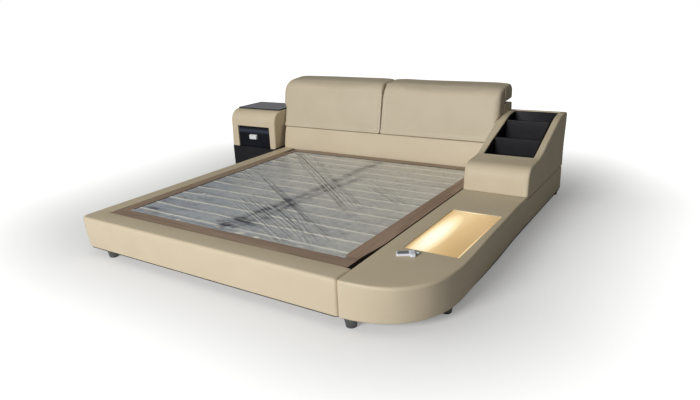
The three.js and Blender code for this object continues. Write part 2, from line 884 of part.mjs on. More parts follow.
function stand_plinth() {
  const stand = stand_sizes();
  const shape = rectangle(stand.x0, left_edge - seat_gap, stand.y0, stand.y1, plinth_edge_radius);
  add('stand_plinth', 'black_leather', plan_pad(shape, 0, stand_shell_bottom - seat_gap, 0));
}

function stand_shell() {
  const stand = stand_sizes();
  const roll = stand_roll_radius;
  const back = stand_back_radius;
  const shape = new THREE.Shape();
  shape.moveTo(stand.y0, stand_shell_bottom);
  shape.lineTo(stand.y1, stand_shell_bottom);
  shape.lineTo(stand.y1, stand_shell_top - back);
  shape.absarc(stand.y1 - back, stand_shell_top - back, back, 0, Math.PI / 2, false);
  shape.lineTo(stand.y0 + roll, stand_shell_top);
  shape.absarc(stand.y0 + roll, stand_shell_top - roll, roll, Math.PI / 2, Math.PI, false);
  const body = across(shape, stand.x0, stand.x1, stand_edge_radius);
  const opening = block(
    stand.open_x0, stand.open_x1, stand.y0 - cut_overrun, stand.open_y1,
    stand_shell_bottom - cut_overrun, stand_opening_top,
  );
  add('stand_shell', 'leather', cut(body, opening));
}

function stand_glass_top() {
  const stand = stand_sizes();
  const inset = stand_glass_side_inset;
  const y0 = stand.y0 + stand_roll_radius + stand_glass_front_gap;
  const y1 = stand.y1 - stand_glass_back_inset - stand_back_radius;
  const shape = rectangle(stand.x0 + inset, stand.x1 - inset, y0, y1, stand_glass_front_gap);
  const bottom = stand_shell_top + seat_gap;
  add('stand_glass_top', 'dark_glass', plan_pad(shape, bottom, bottom + stand_glass_thickness, 0));
}

function drawer_sizes() {
  const stand = stand_sizes();
  const side = runner_thickness + running_gap / 2;
  const front_y = stand.y0 + drawer_front_recess;
  return {
    front_x0: stand.open_x0 + running_gap,
    front_x1: stand.open_x1 - running_gap,
    front_y,
    front_z0: stand_shell_bottom + running_gap,
    front_z1: stand_opening_top - running_gap,
    x0: stand.open_x0 + side,
    x1: stand.open_x1 - side,
    y0: front_y + drawer_front_thickness + seat_gap,
    y1: stand.open_y1 - drawer_back_gap,
    z0: stand_shell_bottom + drawer_lift,
  };
}

function drawer() {
  const box = drawer_sizes();
  const outer = block(box.x0, box.x1, box.y0, box.y1, box.z0, box.z0 + drawer_height);
  const inner = block(
    box.x0 + drawer_wall, box.x1 - drawer_wall, box.y0 + drawer_wall, box.y1 - drawer_wall,
    box.z0 + drawer_floor, box.z0 + drawer_height + cut_overrun,
  );
  add('drawer_box', 'wood', cut(outer, inner));

  const front = box.front_y;
  const back = front + drawer_front_thickness;
  const panel = outline([
    [front, box.front_z0],
    [back, box.front_z0],
    [back, box.front_z1],
    [front + drawer_front_bevel / 2, box.front_z1],
    [front, box.front_z1 - drawer_front_bevel],
  ]);
  add('drawer_front', 'black_leather', across(panel, box.front_x0, box.front_x1, 0));
}

// Cup pull: a hooded box open at its underside for the fingers
function drawer_handle() {
  const box = drawer_sizes();
  const middle = (box.front_x0 + box.front_x1) / 2;
  const top = stand_opening_top - handle_drop;
  const bottom = top - handle_height;
  const back = box.front_y - seat_gap;
  const front = back - handle_projection;
  const half = handle_width / 2;
  const hood = (x0, x1, y0, y1, z0, z1) => across(outline([
    [y0, z0],
    [y1, z0],
    [y1, z1],
    [y0 + handle_slope, z1],
    [y0, z1 - handle_slope],
  ]), x0, x1, 0);
  const wall = handle_wall;
  const shell = hood(middle - half, middle + half, front, back, bottom, top);
  const finger = hood(
    middle - half + wall, middle + half - wall, front + wall, back - wall, bottom - cut_overrun, top - wall,
  );
  add('drawer_handle', 'bright_metal', cut(shell, finger));
}

function drawer_runners() {
  const stand = stand_sizes();
  const box = drawer_sizes();
  const z0 = stand_shell_bottom + runner_lift;
  const sides = {
    left: [stand.open_x0 + seat_gap, stand.open_x0 + runner_thickness],
    right: [stand.open_x1 - runner_thickness, stand.open_x1 - seat_gap],
  };
  for (const [side, [x0, x1]] of Object.entries(sides)) {
    const bar = block(x0, x1, box.y0, stand.open_y1 - seat_gap, z0, z0 + runner_height);
    add(`drawer_runner_${side}`, 'steel', bar);
  }
}

// Hand control: keypad handle with a wider head and a knob beyond it
function hand_control() {
  const pocket = light_pocket();
  const place = new THREE.Vector3(
    recess_width + control_from_side,
    pocket.y0 - control_from_glass,
    platform_top + seat_gap,
  );
  const seat = (geometry) => {
    geometry.rotateZ(control_turn * degree);
    geometry.translate(place.x, place.y, place.z);
    return geometry;
  };
  const half = control_length / 2;
  const round = control_corner_radius;
  const grip = plan_pad(
    rectangle(-half, half, -control_width / 2, control_width / 2, round), 0, control_thickness, 0,
  );
  const head_x0 = half - control_head_length / 2;
  const head_x1 = half + control_head_length / 2;
  const head = plan_pad(
    rectangle(head_x0, head_x1, -control_head_width / 2, control_head_width / 2, round),
    0, control_head_thickness, 0,
  );
  const neck_end = head_x1 + control_knob_gap + control_knob_radius;
  const neck = plan_pad(
    rectangle(head_x0, neck_end, -control_knob_gap, control_knob_gap, control_knob_gap / 2),
    0, control_knob_height / 2, 0,
  );
  const radius = control_knob_radius;
  const knob = new THREE.CylinderGeometry(radius, radius, control_knob_height, round_segments);
  knob.rotateX(Math.PI / 2);
  knob.translate(neck_end, 0, control_knob_height / 2);
  add('control_body', 'light_plastic', seat(join(grip, head, neck, knob)));

  const border = control_key_border;
  const key_half = control_width / 2 - border;
  const keys = plan_pad(
    rectangle(-half + border, head_x0 - border, -key_half, key_half, round / 2),
    control_thickness + seat_gap, control_thickness + seat_gap + control_key_thickness, 0,
  );
  add('control_keypad', 'grey_plastic', seat(keys));
}

// Tapered round feet under the surround
function feet() {
  const inset = foot_edge_inset;
  const places = {
    front_left: [left_edge + foot_left_setback, front_edge + inset],
    front_seam: [recess_width + foot_seam_setback, front_edge + inset],
    chaise_front: [right_edge - foot_side_inset, front_edge + foot_chaise_setback],
    chaise_back: [right_edge - foot_side_inset, back_edge - inset],
    head_left: [head_left + inset, back_edge - inset],
    head_middle: [cushion_middle, back_edge - inset],
  };
  const top = ground_clearance - seat_gap;
  const profile = [
    new THREE.Vector2(0, 0),
    new THREE.Vector2(foot_bottom_radius, 0),
    new THREE.Vector2(foot_top_radius, top - foot_rim_height),
    new THREE.Vector2(foot_top_radius, top),
    new THREE.Vector2(0, top),
  ];
  for (const [name, [x, y]] of Object.entries(places)) {
    const geometry = new THREE.LatheGeometry(profile, round_segments);
    geometry.rotateX(Math.PI / 2);
    geometry.translate(x, y, 0);
    add(`foot_${name}`, 'steel', geometry);
  }
}

foot_panel();
left_rail();
chaise_body();
headboard_frame();
headboard_lower_panel();
headrests();
cabinet();
light_box();
slat_ledge();
frame_boards();
slats();
centre_beam();
slat_film();
stand_plinth();
stand_shell();
stand_glass_top();
drawer();
drawer_handle();
drawer_runners();
hand_control();
feet();

// The origin is the middle of the whole footprint, at floor level
const extent = new THREE.Box3().setFromObject(bed);
const centre = extent.getCenter(new THREE.Vector3());
bed.position.set(-centre.x, -centre.y, 0);
bed.updateMatrixWorld(true);

export default bed;
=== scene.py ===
# %% [markdown]
# A low leather platform bed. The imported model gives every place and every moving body;
# this lesson dresses it. Upholstered boards, foam cushions, bare wood, rubber, metal and
# a crinkled wrapping film each get a shape and a finish of their own.

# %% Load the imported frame
import math

import bmesh
import bpy
import numpy as np
from mathutils import Matrix, Vector, noise
from mathutils.geometry import delaunay_2d_cdt


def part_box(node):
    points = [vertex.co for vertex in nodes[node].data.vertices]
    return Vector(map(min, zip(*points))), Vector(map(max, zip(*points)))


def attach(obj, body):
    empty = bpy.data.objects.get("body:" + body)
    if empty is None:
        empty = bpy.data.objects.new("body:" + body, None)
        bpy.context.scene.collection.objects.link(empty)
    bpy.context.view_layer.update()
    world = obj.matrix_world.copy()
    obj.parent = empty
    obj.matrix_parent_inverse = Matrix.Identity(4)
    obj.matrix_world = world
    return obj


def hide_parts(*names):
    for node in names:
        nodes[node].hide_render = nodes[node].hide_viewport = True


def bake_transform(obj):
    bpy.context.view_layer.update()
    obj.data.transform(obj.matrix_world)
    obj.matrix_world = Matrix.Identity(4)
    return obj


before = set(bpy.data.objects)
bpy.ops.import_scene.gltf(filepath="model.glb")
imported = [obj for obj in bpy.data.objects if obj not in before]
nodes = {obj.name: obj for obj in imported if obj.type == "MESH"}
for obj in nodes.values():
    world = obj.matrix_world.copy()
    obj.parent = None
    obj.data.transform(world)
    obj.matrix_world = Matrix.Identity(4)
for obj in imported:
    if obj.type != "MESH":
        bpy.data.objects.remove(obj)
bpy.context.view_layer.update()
scene = bpy.context.scene

# %% [markdown]
# The camera stands in front of the chaise corner at a little above eye height of a
# seated person. Its place, turn and focal length come from matching straight edges of
# the bed in the photograph, and the small roll is part of that match.

# %% Camera
yaw, pitch, roll = (math.radians(a) for a in (33.2, 18.268, -2.609))
focal_pixels, frame_width = 569.87, 700.0
eye_place = (2.52582, -3.32370, 1.47675)


def camera_turn():
    ahead = Vector((-math.sin(yaw) * math.cos(pitch), math.cos(yaw) * math.cos(pitch), -math.sin(pitch)))
    level = Vector((math.cos(yaw), math.sin(yaw), 0.0))
    upright = level.cross(ahead)
    right = math.cos(roll) * level + math.sin(roll) * upright
    up = -math.sin(roll) * level + math.cos(roll) * upright
    return Matrix((right, up, -ahead)).transposed().to_4x4()


eye = bpy.data.cameras.new("camera")
eye.sensor_width = 36.0
eye.lens = focal_pixels / frame_width * eye.sensor_width
eye.clip_start, eye.clip_end = 0.05, 200.0
camera = bpy.data.objects.new("camera", eye)
camera.matrix_world = Matrix.Translation(eye_place) @ camera_turn()
scene.collection.objects.link(camera)
scene.camera = camera
print("lens", round(eye.lens, 2), "mm")

# %% [markdown]
# The studio: a white sweep that reads almost pure white away from the bed, one broad soft
# light from the front left, and a weak even fill. Near the bed the sweep glows less, which
# adds a painted shade round the bed to the real shadow on its matte part. Fronts come out
# brightest, tops a step darker and the right side darkest, as in the photograph.


# %% Floor, lights and surroundings
def new_nodes(owner):
    owner.use_nodes = True
    owner.node_tree.nodes.clear()
    return owner.node_tree


def fill(tree, node, values):
    """Gives each input of a node a value, or a link from another node's output."""
    for place, value in values.items():
        if isinstance(value, bpy.types.NodeSocket):
            tree.links.new(value, node.inputs[place])
        else:
            node.inputs[place].default_value = value
    return node


def add(tree, kind, values=None, **settings):
    """A new node with its own settings made and its inputs filled."""
    node = tree.nodes.new(kind)
    for name, value in settings.items():
        setattr(node, name, value)
    return fill(tree, node, values or {})


def placed_in_scene(name, data):
    obj = bpy.data.objects.new(name, data)
    scene.collection.objects.link(obj)
    return obj


def area_light(name, place, target, size, power, colour):
    lamp = bpy.data.lights.new(name, "AREA")
    lamp.shape = "RECTANGLE"
    lamp.size, lamp.size_y = size
    lamp.energy, lamp.color = power, colour
    obj = placed_in_scene(name, lamp)
    obj.location = place
    obj.rotation_mode = "QUATERNION"
    obj.rotation_quaternion = (Vector(target) - Vector(place)).to_track_quat("-Z", "Y")


def seen_by_camera(tree, otherwise, seen):
    """One shader for camera rays and another for all the light that bounces."""
    path = add(tree, "ShaderNodeLightPath")
    return add(tree, "ShaderNodeMixShader", {0: path.outputs["Is Camera Ray"], 1: otherwise, 2: seen}).outputs[0]


floor_half = 60.0
# The glow is weakest round the bed, so a painted shade lies there, reaching further to the left.
bed_middle, bed_reach, left_share = (0.435, 0.236, 0), (0.568, 0.896, 0), (-0.64, -1, 0)
glow_near_bed, glow_runs_out = 0.09, 2.2


def studio_floor():
    """A matte floor that glows a little to the camera, and more with distance, so it ends in white; the weak glow near
    the bed paints a shade round it.
    """
    mesh = bpy.data.meshes.new("floor")
    corners = [(x * floor_half, y * floor_half, 0) for x, y in ((-1, -1), (1, -1), (1, 1), (-1, 1))]
    mesh.from_pydata(corners, [], [(0, 1, 2, 3)])
    floor = placed_in_scene("floor", mesh)
    material = bpy.data.materials.new("floor_white")
    tree = new_nodes(material)

    def vector_math(operation, *values):
        return add(tree, "ShaderNodeVectorMath", dict(enumerate(values)), operation=operation).outputs

    place = add(tree, "ShaderNodeTexCoord").outputs["Object"]
    from_middle = vector_math("SUBTRACT", place, bed_middle)["Vector"]
    other_way = vector_math("MULTIPLY", from_middle, left_share)["Vector"]
    both_ways = vector_math("MAXIMUM", other_way, from_middle)["Vector"]
    past_bed = vector_math("SUBTRACT", both_ways, bed_reach)["Vector"]
    away_from_bed = vector_math("MAXIMUM", past_bed, (0, 0, 0))["Vector"]
    rise = add(tree, "ShaderNodeMapRange", {
        "Value": vector_math("LENGTH", away_from_bed)["Value"], "From Min": 0.0, "From Max": glow_runs_out,
        "To Min": glow_near_bed, "To Max": 1.0,
    }, interpolation_type="SMOOTHSTEP").outputs["Result"]
    matte = add(tree, "ShaderNodeBsdfDiffuse", {"Color": (0.60, 0.61, 0.63, 1)}).outputs[0]
    glow = add(tree, "ShaderNodeEmission", {"Strength": 1.0, "Color": rise}).outputs[0]
    both = add(tree, "ShaderNodeAddShader", {0: matte, 1: glow}).outputs[0]
    add(tree, "ShaderNodeOutputMaterial", {"Surface": seen_by_camera(tree, matte, both)})
    mesh.materials.append(material)


def surroundings(seen_strength, fill_strength):
    world = bpy.data.worlds.new("studio")
    scene.world = world
    tree = new_nodes(world)
    white, warm = (
        add(tree, "ShaderNodeBackground", {"Color": colour, "Strength": strength}).outputs[0]
        for colour, strength in (((1, 1, 1, 1), seen_strength), ((1.0, 0.975, 0.88, 1), fill_strength))
    )
    add(tree, "ShaderNodeOutputWorld", {"Surface": seen_by_camera(tree, warm, white)})


studio_floor()
surroundings(1.0, 0.142)
area_light("key", (-0.8, -10.2, 3.9), (0.15, -0.3, 0.3), (3.8, 3.0), 930, (1.0, 0.985, 0.965))
area_light("top", (-1.2, -0.8, 4.6), (0.1, 0.0, 0.2), (4.0, 4.0), 30, (0.97, 1.0, 0.88))
scene.view_settings.view_transform = "Standard"
scene.view_settings.look = "None"

# %% [markdown]
# Leather is used in two colours, so its grain is one node group with its own sizes:
# small pebbles from a Voronoi pattern, a slower mottle for the hide, and a mask for the
# tone. Shaders stay in each material; the group hands out only values.


# %% Leather grain group
def group(name, inputs, outputs, kind="ShaderNodeTree"):
    """A node group; each input is a name, a kind and, where it has one, a first value."""
    tree = bpy.data.node_groups.new(name, kind)
    for in_out, sockets in (("INPUT", inputs), ("OUTPUT", outputs)):
        for label, socket_kind, *value in sockets:
            socket = tree.interface.new_socket(name=label, in_out=in_out, socket_type="NodeSocket" + socket_kind)
            if value:
                socket.default_value = value[0]
    return tree, add(tree, "NodeGroupInput").outputs, add(tree, "NodeGroupOutput")


def arithmetic(tree):
    """Adding, subtracting, multiplying and dividing in this tree, as functions of two values."""
    def made(kind):
        return lambda a, b: add(tree, "ShaderNodeMath", {0: a, 1: b}, operation=kind).outputs[0]

    return [made(kind) for kind in ("ADD", "SUBTRACT", "MULTIPLY", "DIVIDE")]


def noise_at(tree, place, scale, detail, **more):
    values = {"Vector": place, "Scale": scale, "Detail": detail, **more}
    return add(tree, "ShaderNodeTexNoise", values).outputs["Fac"]


def leather_grain():
    tree, start, end = group(
        "leather_grain",
        [("Place", "Vector"), ("Pebble Scale", "Float", 420.0), ("Mottle Scale", "Float", 5.0)],
        [("Height", "Float"), ("Mottle", "Float"), ("Crease", "Float")],
    )
    plus, _, times, _ = arithmetic(tree)
    place, size = start["Place"], start["Pebble Scale"]
    pebble = add(tree, "ShaderNodeTexVoronoi", {"Vector": place, "Scale": size}, feature="DISTANCE_TO_EDGE")
    fine = noise_at(tree, place, times(size, 0.16), 4.0)
    slow = noise_at(tree, place, start["Mottle Scale"], 3.0)
    round_pebble = add(tree, "ShaderNodeMath", {0: pebble.outputs["Distance"], 1: 0.6}, operation="POWER")
    height = plus(round_pebble.outputs[0], times(fine, 0.8))
    fill(tree, end, {"Height": height, "Mottle": slow, "Crease": fine})
    return tree


grain_group = leather_grain()


def use_group(tree, shared, place, values):
    return add(tree, "ShaderNodeGroup", {"Place": place, **values}, node_tree=shared).outputs


def object_place(tree):
    return add(tree, "ShaderNodeTexCoord").outputs["Object"]


def colour_stops(tree, factor, stops):
    """A colour ramp through (place, colour) stops."""
    node = add(tree, "ShaderNodeValToRGB", {0: factor})
    while len(node.color_ramp.elements) < len(stops):
        node.color_ramp.elements.new(0.5)
    for element, (place, colour) in zip(node.color_ramp.elements, stops):
        element.position, element.color = place, (*colour, 1)
    return node.outputs["Color"]


def colour_between(tree, factor, low, high):
    return colour_stops(tree, factor, [(0.3, low), (0.7, high)])


def value_between(tree, factor, low, high):
    return add(tree, "ShaderNodeMapRange", {
        "From Min": 0.3, "From Max": 0.7, "To Min": low, "To Max": high, "Value": factor,
    }).outputs["Result"]


def mix_colour(tree, factor, a, b):
    a, b = ((*colour, 1) if isinstance(colour, tuple) else colour for colour in (a, b))
    node = add(tree, "ShaderNodeMix", data_type="RGBA")
    return fill(tree, node, {"Factor": factor, 6: a, 7: b}).outputs[2]


def bumped(tree, height, strength, distance):
    return add(tree, "ShaderNodeBump", {"Strength": strength, "Distance": distance, "Height": height}).outputs["Normal"]


def principled(name):
    material = bpy.data.materials.new(name)
    tree = new_nodes(material)
    shader = add(tree, "ShaderNodeBsdfPrincipled")
    add(tree, "ShaderNodeOutputMaterial", {"Surface": shader.outputs[0]})
    return material, tree, shader


def grained(name, pebble, mottle):
    """A new material with the grain already laid by the object's own place."""
    material, tree, shader = principled(name)
    grain = use_group(tree, grain_group, object_place(tree), {"Pebble Scale": pebble, "Mottle Scale": mottle})
    return material, tree, shader, grain


def leather(name, dark, light, rough, pebble, bump, gloss):
    material, tree, shader, grain = grained(name, pebble, 4.0)
    fill(tree, shader, {
        "Base Color": colour_between(tree, grain["Mottle"], dark, light),
        "Roughness": value_between(tree, grain["Crease"], rough - 0.05, rough + 0.06),
        "Specular IOR Level": gloss,
        "Normal": bumped(tree, grain["Height"], bump, 0.0006),
    })
    return material


cream = leather("cream_leather", (0.588, 0.505, 0.370), (0.620, 0.534, 0.396), 0.52, 430.0, 0.22, 0.36)
cushion_hide = leather("cushion_leather", (0.545, 0.472, 0.358), (0.576, 0.502, 0.384), 0.52, 430.0, 0.22, 0.36)
black_hide = leather("black_leather", (0.007, 0.007, 0.010), (0.012, 0.012, 0.017), 0.46, 380.0, 0.35, 0.26)
drawer_hide = leather("drawer_leather", (0.004, 0.0045, 0.008), (0.007, 0.008, 0.013), 0.50, 380.0, 0.30, 0.14)
seam_thread = leather("seam_thread", (0.47, 0.39, 0.26), (0.53, 0.44, 0.30), 0.7, 1400.0, 0.3, 0.2)
print("leathers ready")

# %% [markdown]
# Wood: long stretched noise gives the figure and a finer one the pores. The boards are
# brown veneered strips, the slats pale birch, so one group serves both with the grain
# along X or along Y.


# %% Wood, rubber, metal and plastic finishes
def wood_figure():
    tree, start, end = group(
        "wood_figure", [("Place", "Vector"), ("Scale", "Float", 14.0)], [("Figure", "Float"), ("Pores", "Float")],
    )
    times = arithmetic(tree)[2]
    fill(tree, end, {
        "Figure": noise_at(tree, start["Place"], start["Scale"], 5.0, Distortion=0.6),
        "Pores": noise_at(tree, start["Place"], times(start["Scale"], 7.0), 3.0),
    })
    return tree


figure_group = wood_figure()


def wood(name, dark, light, along, rough):
    material, tree, shader = principled(name)
    stretched = [0.08 if axis == along else 1.0 for axis in "XYZ"]
    place = add(tree, "ShaderNodeMapping", {"Scale": stretched, "Vector": object_place(tree)}).outputs["Vector"]
    figure = use_group(tree, figure_group, place, {"Scale": 26.0})
    fill(tree, shader, {
        "Base Color": colour_between(tree, figure["Figure"], dark, light),
        "Roughness": value_between(tree, figure["Pores"], rough - 0.08, rough + 0.08),
        "Specular IOR Level": 0.3,
        "Normal": bumped(tree, figure["Pores"], 0.25, 0.0005),
    })
    return material


def worn(name, dark, light, rough, metallic, scale, bump):
    material, tree, shader, grain = grained(name, scale, 18.0)
    fill(tree, shader, {
        "Base Color": colour_between(tree, grain["Mottle"], dark, light),
        "Roughness": value_between(tree, grain["Crease"], rough * 0.85, rough * 1.2),
        "Metallic": metallic,
        "Normal": bumped(tree, grain["Crease"], bump, 0.0003),
    })
    return material


board_x = wood("board_wood_across", (0.262, 0.182, 0.134), (0.385, 0.285, 0.218), "X", 0.55)
board_y = wood("board_wood_along", (0.262, 0.182, 0.134), (0.385, 0.285, 0.218), "Y", 0.55)
# Painted light: a lighter copy of the board wood for the right board, standing for more light on it.
board_right_lit = wood("board_wood_right_lit", (0.280, 0.182, 0.130), (0.405, 0.284, 0.213), "Y", 0.55)
# Painted shade: the slat ledge is near-black so the gaps over it read dark.
ledge_painted_shade = wood("ledge_painted_shade", (0.020, 0.017, 0.015), (0.034, 0.029, 0.025), "Y", 0.7)
birch = wood("slat_birch", (0.52, 0.43, 0.30), (0.66, 0.57, 0.42), "X", 0.5)
plain_ply = wood("drawer_ply", (0.42, 0.33, 0.22), (0.52, 0.42, 0.29), "X", 0.55)
rubber = worn("cap_rubber", (0.018, 0.019, 0.021), (0.030, 0.031, 0.034), 0.6, 0.0, 900.0, 0.3)
steel = worn("dark_steel", (0.030, 0.031, 0.034), (0.048, 0.049, 0.053), 0.38, 0.7, 700.0, 0.15)
foot_metal = worn("foot_metal", (0.17, 0.175, 0.175), (0.23, 0.235, 0.235), 0.30, 0.85, 500.0, 0.08)
chrome = worn("bright_metal", (0.86, 0.88, 0.92), (0.93, 0.95, 0.98), 0.30, 0.30, 300.0, 0.05)
white_board = worn("white_board", (0.72, 0.64, 0.48), (0.80, 0.72, 0.56), 0.5, 0.0, 300.0, 0.1)
shell_plastic = worn("light_plastic", (0.72, 0.76, 0.84), (0.80, 0.84, 0.92), 0.32, 0.0, 900.0, 0.1)
key_plastic = worn("grey_plastic", (0.16, 0.18, 0.22), (0.22, 0.24, 0.28), 0.42, 0.0, 900.0, 0.15)
edge_trim = worn("black_edging", (0.010, 0.010, 0.011), (0.018, 0.018, 0.020), 0.65, 0.0, 1200.0, 0.4)
print("hard finishes ready")


# %% [markdown]
# The bedside top is near-black glass that mirrors the pale room; its slate-blue colour is
# partly its own tint and partly a painted reflection of the room. The lit panel is
# frosted: a strip shines along its left side, and the glow is painted on as emission,
# strongest a quarter of the way across and falling to peach at the right, with painted
# highlight lines along the back and right edges and painted shade along the left edge.
# The glow is worked out from the place on the panel, so it stays put when the panel is
# lifted straight up.


# %% Glass finishes
def dark_glass():
    material, tree, shader, grain = grained("dark_glass", 60.0, 9.0)
    fill(tree, shader, {
        # Slate-blue base colour: partly the glass's own tint, partly a painted reflection of the pale room.
        "Base Color": colour_between(tree, grain["Mottle"], (0.270, 0.290, 0.420), (0.310, 0.330, 0.470)),
        "Roughness": value_between(tree, grain["Crease"], 0.05, 0.12),
        "Specular IOR Level": 0.9, "Coat Weight": 0.6, "Coat Roughness": 0.05,
    })
    return material


def bell(tree, value, middle, width):
    """A smooth hump of height one round a middle value."""
    _, minus, times, over = arithmetic(tree)
    off = over(minus(value, middle), width)
    return add(tree, "ShaderNodeMath", {0: times(times(off, off), -1.0)}, operation="EXPONENT").outputs[0]


def apart(tree, place):
    return add(tree, "ShaderNodeSeparateXYZ", {0: place}).outputs


def lit_glass(low, high):
    material, tree, shader, grain = grained("lit_glass", 40.0, 3.0)
    _, minus, times, over = arithmetic(tree)
    place = apart(tree, object_place(tree))
    across = over(minus(place["X"], low.x), high.x - low.x)
    along = over(minus(place["Y"], low.y), high.y - low.y)

    def patch(across_middle, across_width, along_middle, along_width):
        return times(bell(tree, across, across_middle, across_width), bell(tree, along, along_middle, along_width))

    def brightest(a, b):
        return add(tree, "ShaderNodeMath", {0: a, 1: b}, operation="MAXIMUM").outputs[0]

    # Painted light: a streak and haze of glow, painted highlight lines along the back and right edges, and painted
    # shade along the left edge.
    streak = patch(0.25, 0.25, 0.34, 0.60)
    haze = times(bell(tree, across, 0.32, 0.52), 0.38)
    back_edge_highlight = times(patch(0.42, 0.30, 0.995, 0.012), 0.8)
    side_edge_highlight = times(patch(0.985, 0.018, 0.2, 0.5), 0.55)
    lit = brightest(brightest(streak, haze), brightest(back_edge_highlight, side_edge_highlight))
    left_shade = minus(1.0, times(bell(tree, across, -0.03, 0.060), 0.85))
    stops = [
        (0.0, (0.42, 0.27, 0.11)), (0.28, (0.60, 0.41, 0.19)), (0.6, (0.95, 0.79, 0.47)), (0.9, (1.02, 0.96, 0.81)),
    ]
    fill(tree, shader, {
        "Base Color": colour_between(tree, grain["Mottle"], (0.17, 0.12, 0.06), (0.19, 0.13, 0.07)),
        "Roughness": value_between(tree, grain["Crease"], 0.22, 0.32),
        "Emission Color": colour_stops(tree, times(lit, left_shade), stops),
        "Emission Strength": 0.98,
    })
    return material


def glowing(name, colour, strength):
    material, tree, shader, grain = grained(name, 120.0, 60.0)
    fill(tree, shader, {
        "Base Color": colour_between(tree, grain["Crease"], (0.7, 0.6, 0.4), (0.8, 0.7, 0.5)),
        "Emission Color": colour_between(tree, grain["Mottle"], tuple(c * 0.9 for c in colour), colour),
        "Emission Strength": strength,
    })
    return material


slab_glass = dark_glass()
panel_glass = lit_glass(*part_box("glass_panel"))
strip_light = glowing("light_strip", (1.0, 0.86, 0.58), 6.0)
print("glass ready")

# %% [markdown]
# Carried-over solids keep their shape and gain a small rounded edge, because no sawn
# board or folded sheet has a perfectly sharp one. A weld joins the loose triangles, a
# planar dissolve clears the flat faces, then the bevel runs round what is left.


# %% Dress the carried-over solids
def modified(obj, kind, **settings):
    """Adds a modifier with its settings made."""
    modifier = obj.modifiers.new(kind.lower(), kind)
    for name, value in settings.items():
        setattr(modifier, name, value)


def finish_node(name, material, edge=None):
    obj = nodes[name]
    obj.data.materials.clear()
    obj.data.materials.append(material)
    if edge:
        modified(obj, "WELD", merge_threshold=0.00002)
        modified(obj, "DECIMATE", decimate_type="DISSOLVE", angle_limit=math.radians(1))
        modified(
            obj, "BEVEL", width=edge, segments=2, limit_method="ANGLE", angle_limit=math.radians(35),
            use_clamp_overlap=True, harden_normals=True,
        )
        obj.data.shade_smooth()


slat_names = sorted(n for n in nodes if n.startswith("slat_") and n[5:].isdigit())
hinge_names = [n for n in nodes if n.startswith("hinge_")]
for names, material, edge in (
    (slat_names, birch, 0.0015), (["slat_ledge"], ledge_painted_shade, 0.002), (["drawer_box"], plain_ply, 0.0012),
    (["centre_beam", "drawer_runner_left", "drawer_runner_right"], steel, 0.0015), (hinge_names, steel, None),
    (["light_tray"], white_board, 0.001), (["light_strip"], strip_light, 0.001),
    (["glass_panel"], panel_glass, 0.001), (["cabinet_liner"], black_hide, 0.0015),
):
    for name in names:
        finish_node(name, material, edge)
print("dressed", len(slat_names), "slats")

# %% [markdown]
# Every upholstered board here is one closed form: an outline carried along a third
# direction, with round edges at both ends and an evenly divided skin. The even skin is
# what lets the leather swell a little between its edges afterwards.


# %% Outline helpers
def rectangle(low, high):
    """Corners of a box seen from above, counter-clockwise from its lower left."""
    return [(low[0], low[1]), (high[0], low[1]), (high[0], high[1]), (low[0], high[1])]


def rounded(points, radius, steps=6):
    """Closed outline whose corners are arcs; radius is one number, or one for each corner."""
    count = len(points)
    radii = list(radius) if hasattr(radius, "__len__") else [radius] * count
    out = []
    for i in range(count):
        corner = np.array(points[i], float)
        back = np.array(points[i - 1], float) - corner
        ahead = np.array(points[(i + 1) % count], float) - corner
        long_back, long_ahead = np.linalg.norm(back), np.linalg.norm(ahead)
        back, ahead = back / long_back, ahead / long_ahead
        half = math.acos(max(-1.0, min(1.0, float(back @ ahead)))) / 2
        if radii[i] <= 0 or half > 1.5:
            out.append(corner)
            continue
        reach = min(radii[i] / math.tan(half), 0.49 * long_back, 0.49 * long_ahead)
        real = reach * math.tan(half)
        middle = corner + (back + ahead) / np.linalg.norm(back + ahead) * (real / math.sin(half))
        start, end = corner + back * reach - middle, corner + ahead * reach - middle
        turn = math.acos(max(-1.0, min(1.0, float(start @ end) / real**2)))
        for k in range(steps + 1):
            t = k / steps
            out.append(middle + (math.sin((1 - t) * turn) * start + math.sin(t * turn) * end) / math.sin(turn))
    return out


def evenly(points, step):
    """The closed outline with no stretch longer than a step."""
    out = []
    for i, point in enumerate(points):
        a, b = np.array(point, float), np.array(points[(i + 1) % len(points)], float)
        length = np.linalg.norm(b - a)
        if length < 1e-6:
            continue
        pieces = max(1, math.ceil(length / step))
        out += [a + (b - a) * k / pieces for k in range(pieces)]
    return np.array(out)


def drawn_in(points, amount):
    ahead = np.roll(points, -1, 0) - points
    behind = points - np.roll(points, 1, 0)
    ahead /= np.linalg.norm(ahead, axis=1)[:, None]
    behind /= np.linalg.norm(behind, axis=1)[:, None]
    along = ahead + behind
    along /= np.linalg.norm(along, axis=1)[:, None]
    inward = np.stack([-along[:, 1], along[:, 0]], 1)
    straight = np.maximum((ahead * along).sum(1), 0.6)
    return points + inward * (amount / straight)[:, None]


def inside(points, outline):
    x, y = points[:, 0], points[:, 1]
    hit = np.zeros(len(points), bool)
    for (ax, ay), (bx, by) in zip(outline, np.roll(outline, -1, 0)):
        crosses = (ay > y) != (by > y)
        with np.errstate(divide="ignore", invalid="ignore"):
            reach = (bx - ax) * (y - ay) / (by - ay) + ax
        hit ^= crosses & (x < reach)
    return hit


def away(points, outline):
    """Distance of each point from the outline."""
    best = np.full(len(points), 1e9)
    for a, b in zip(outline, np.roll(outline, -1, 0)):
        d = b - a
        t = np.clip(((points - a) @ d) / max(d @ d, 1e-12), 0, 1)
        best = np.minimum(best, np.linalg.norm(points - (a + t[:, None] * d), axis=1))
    return best


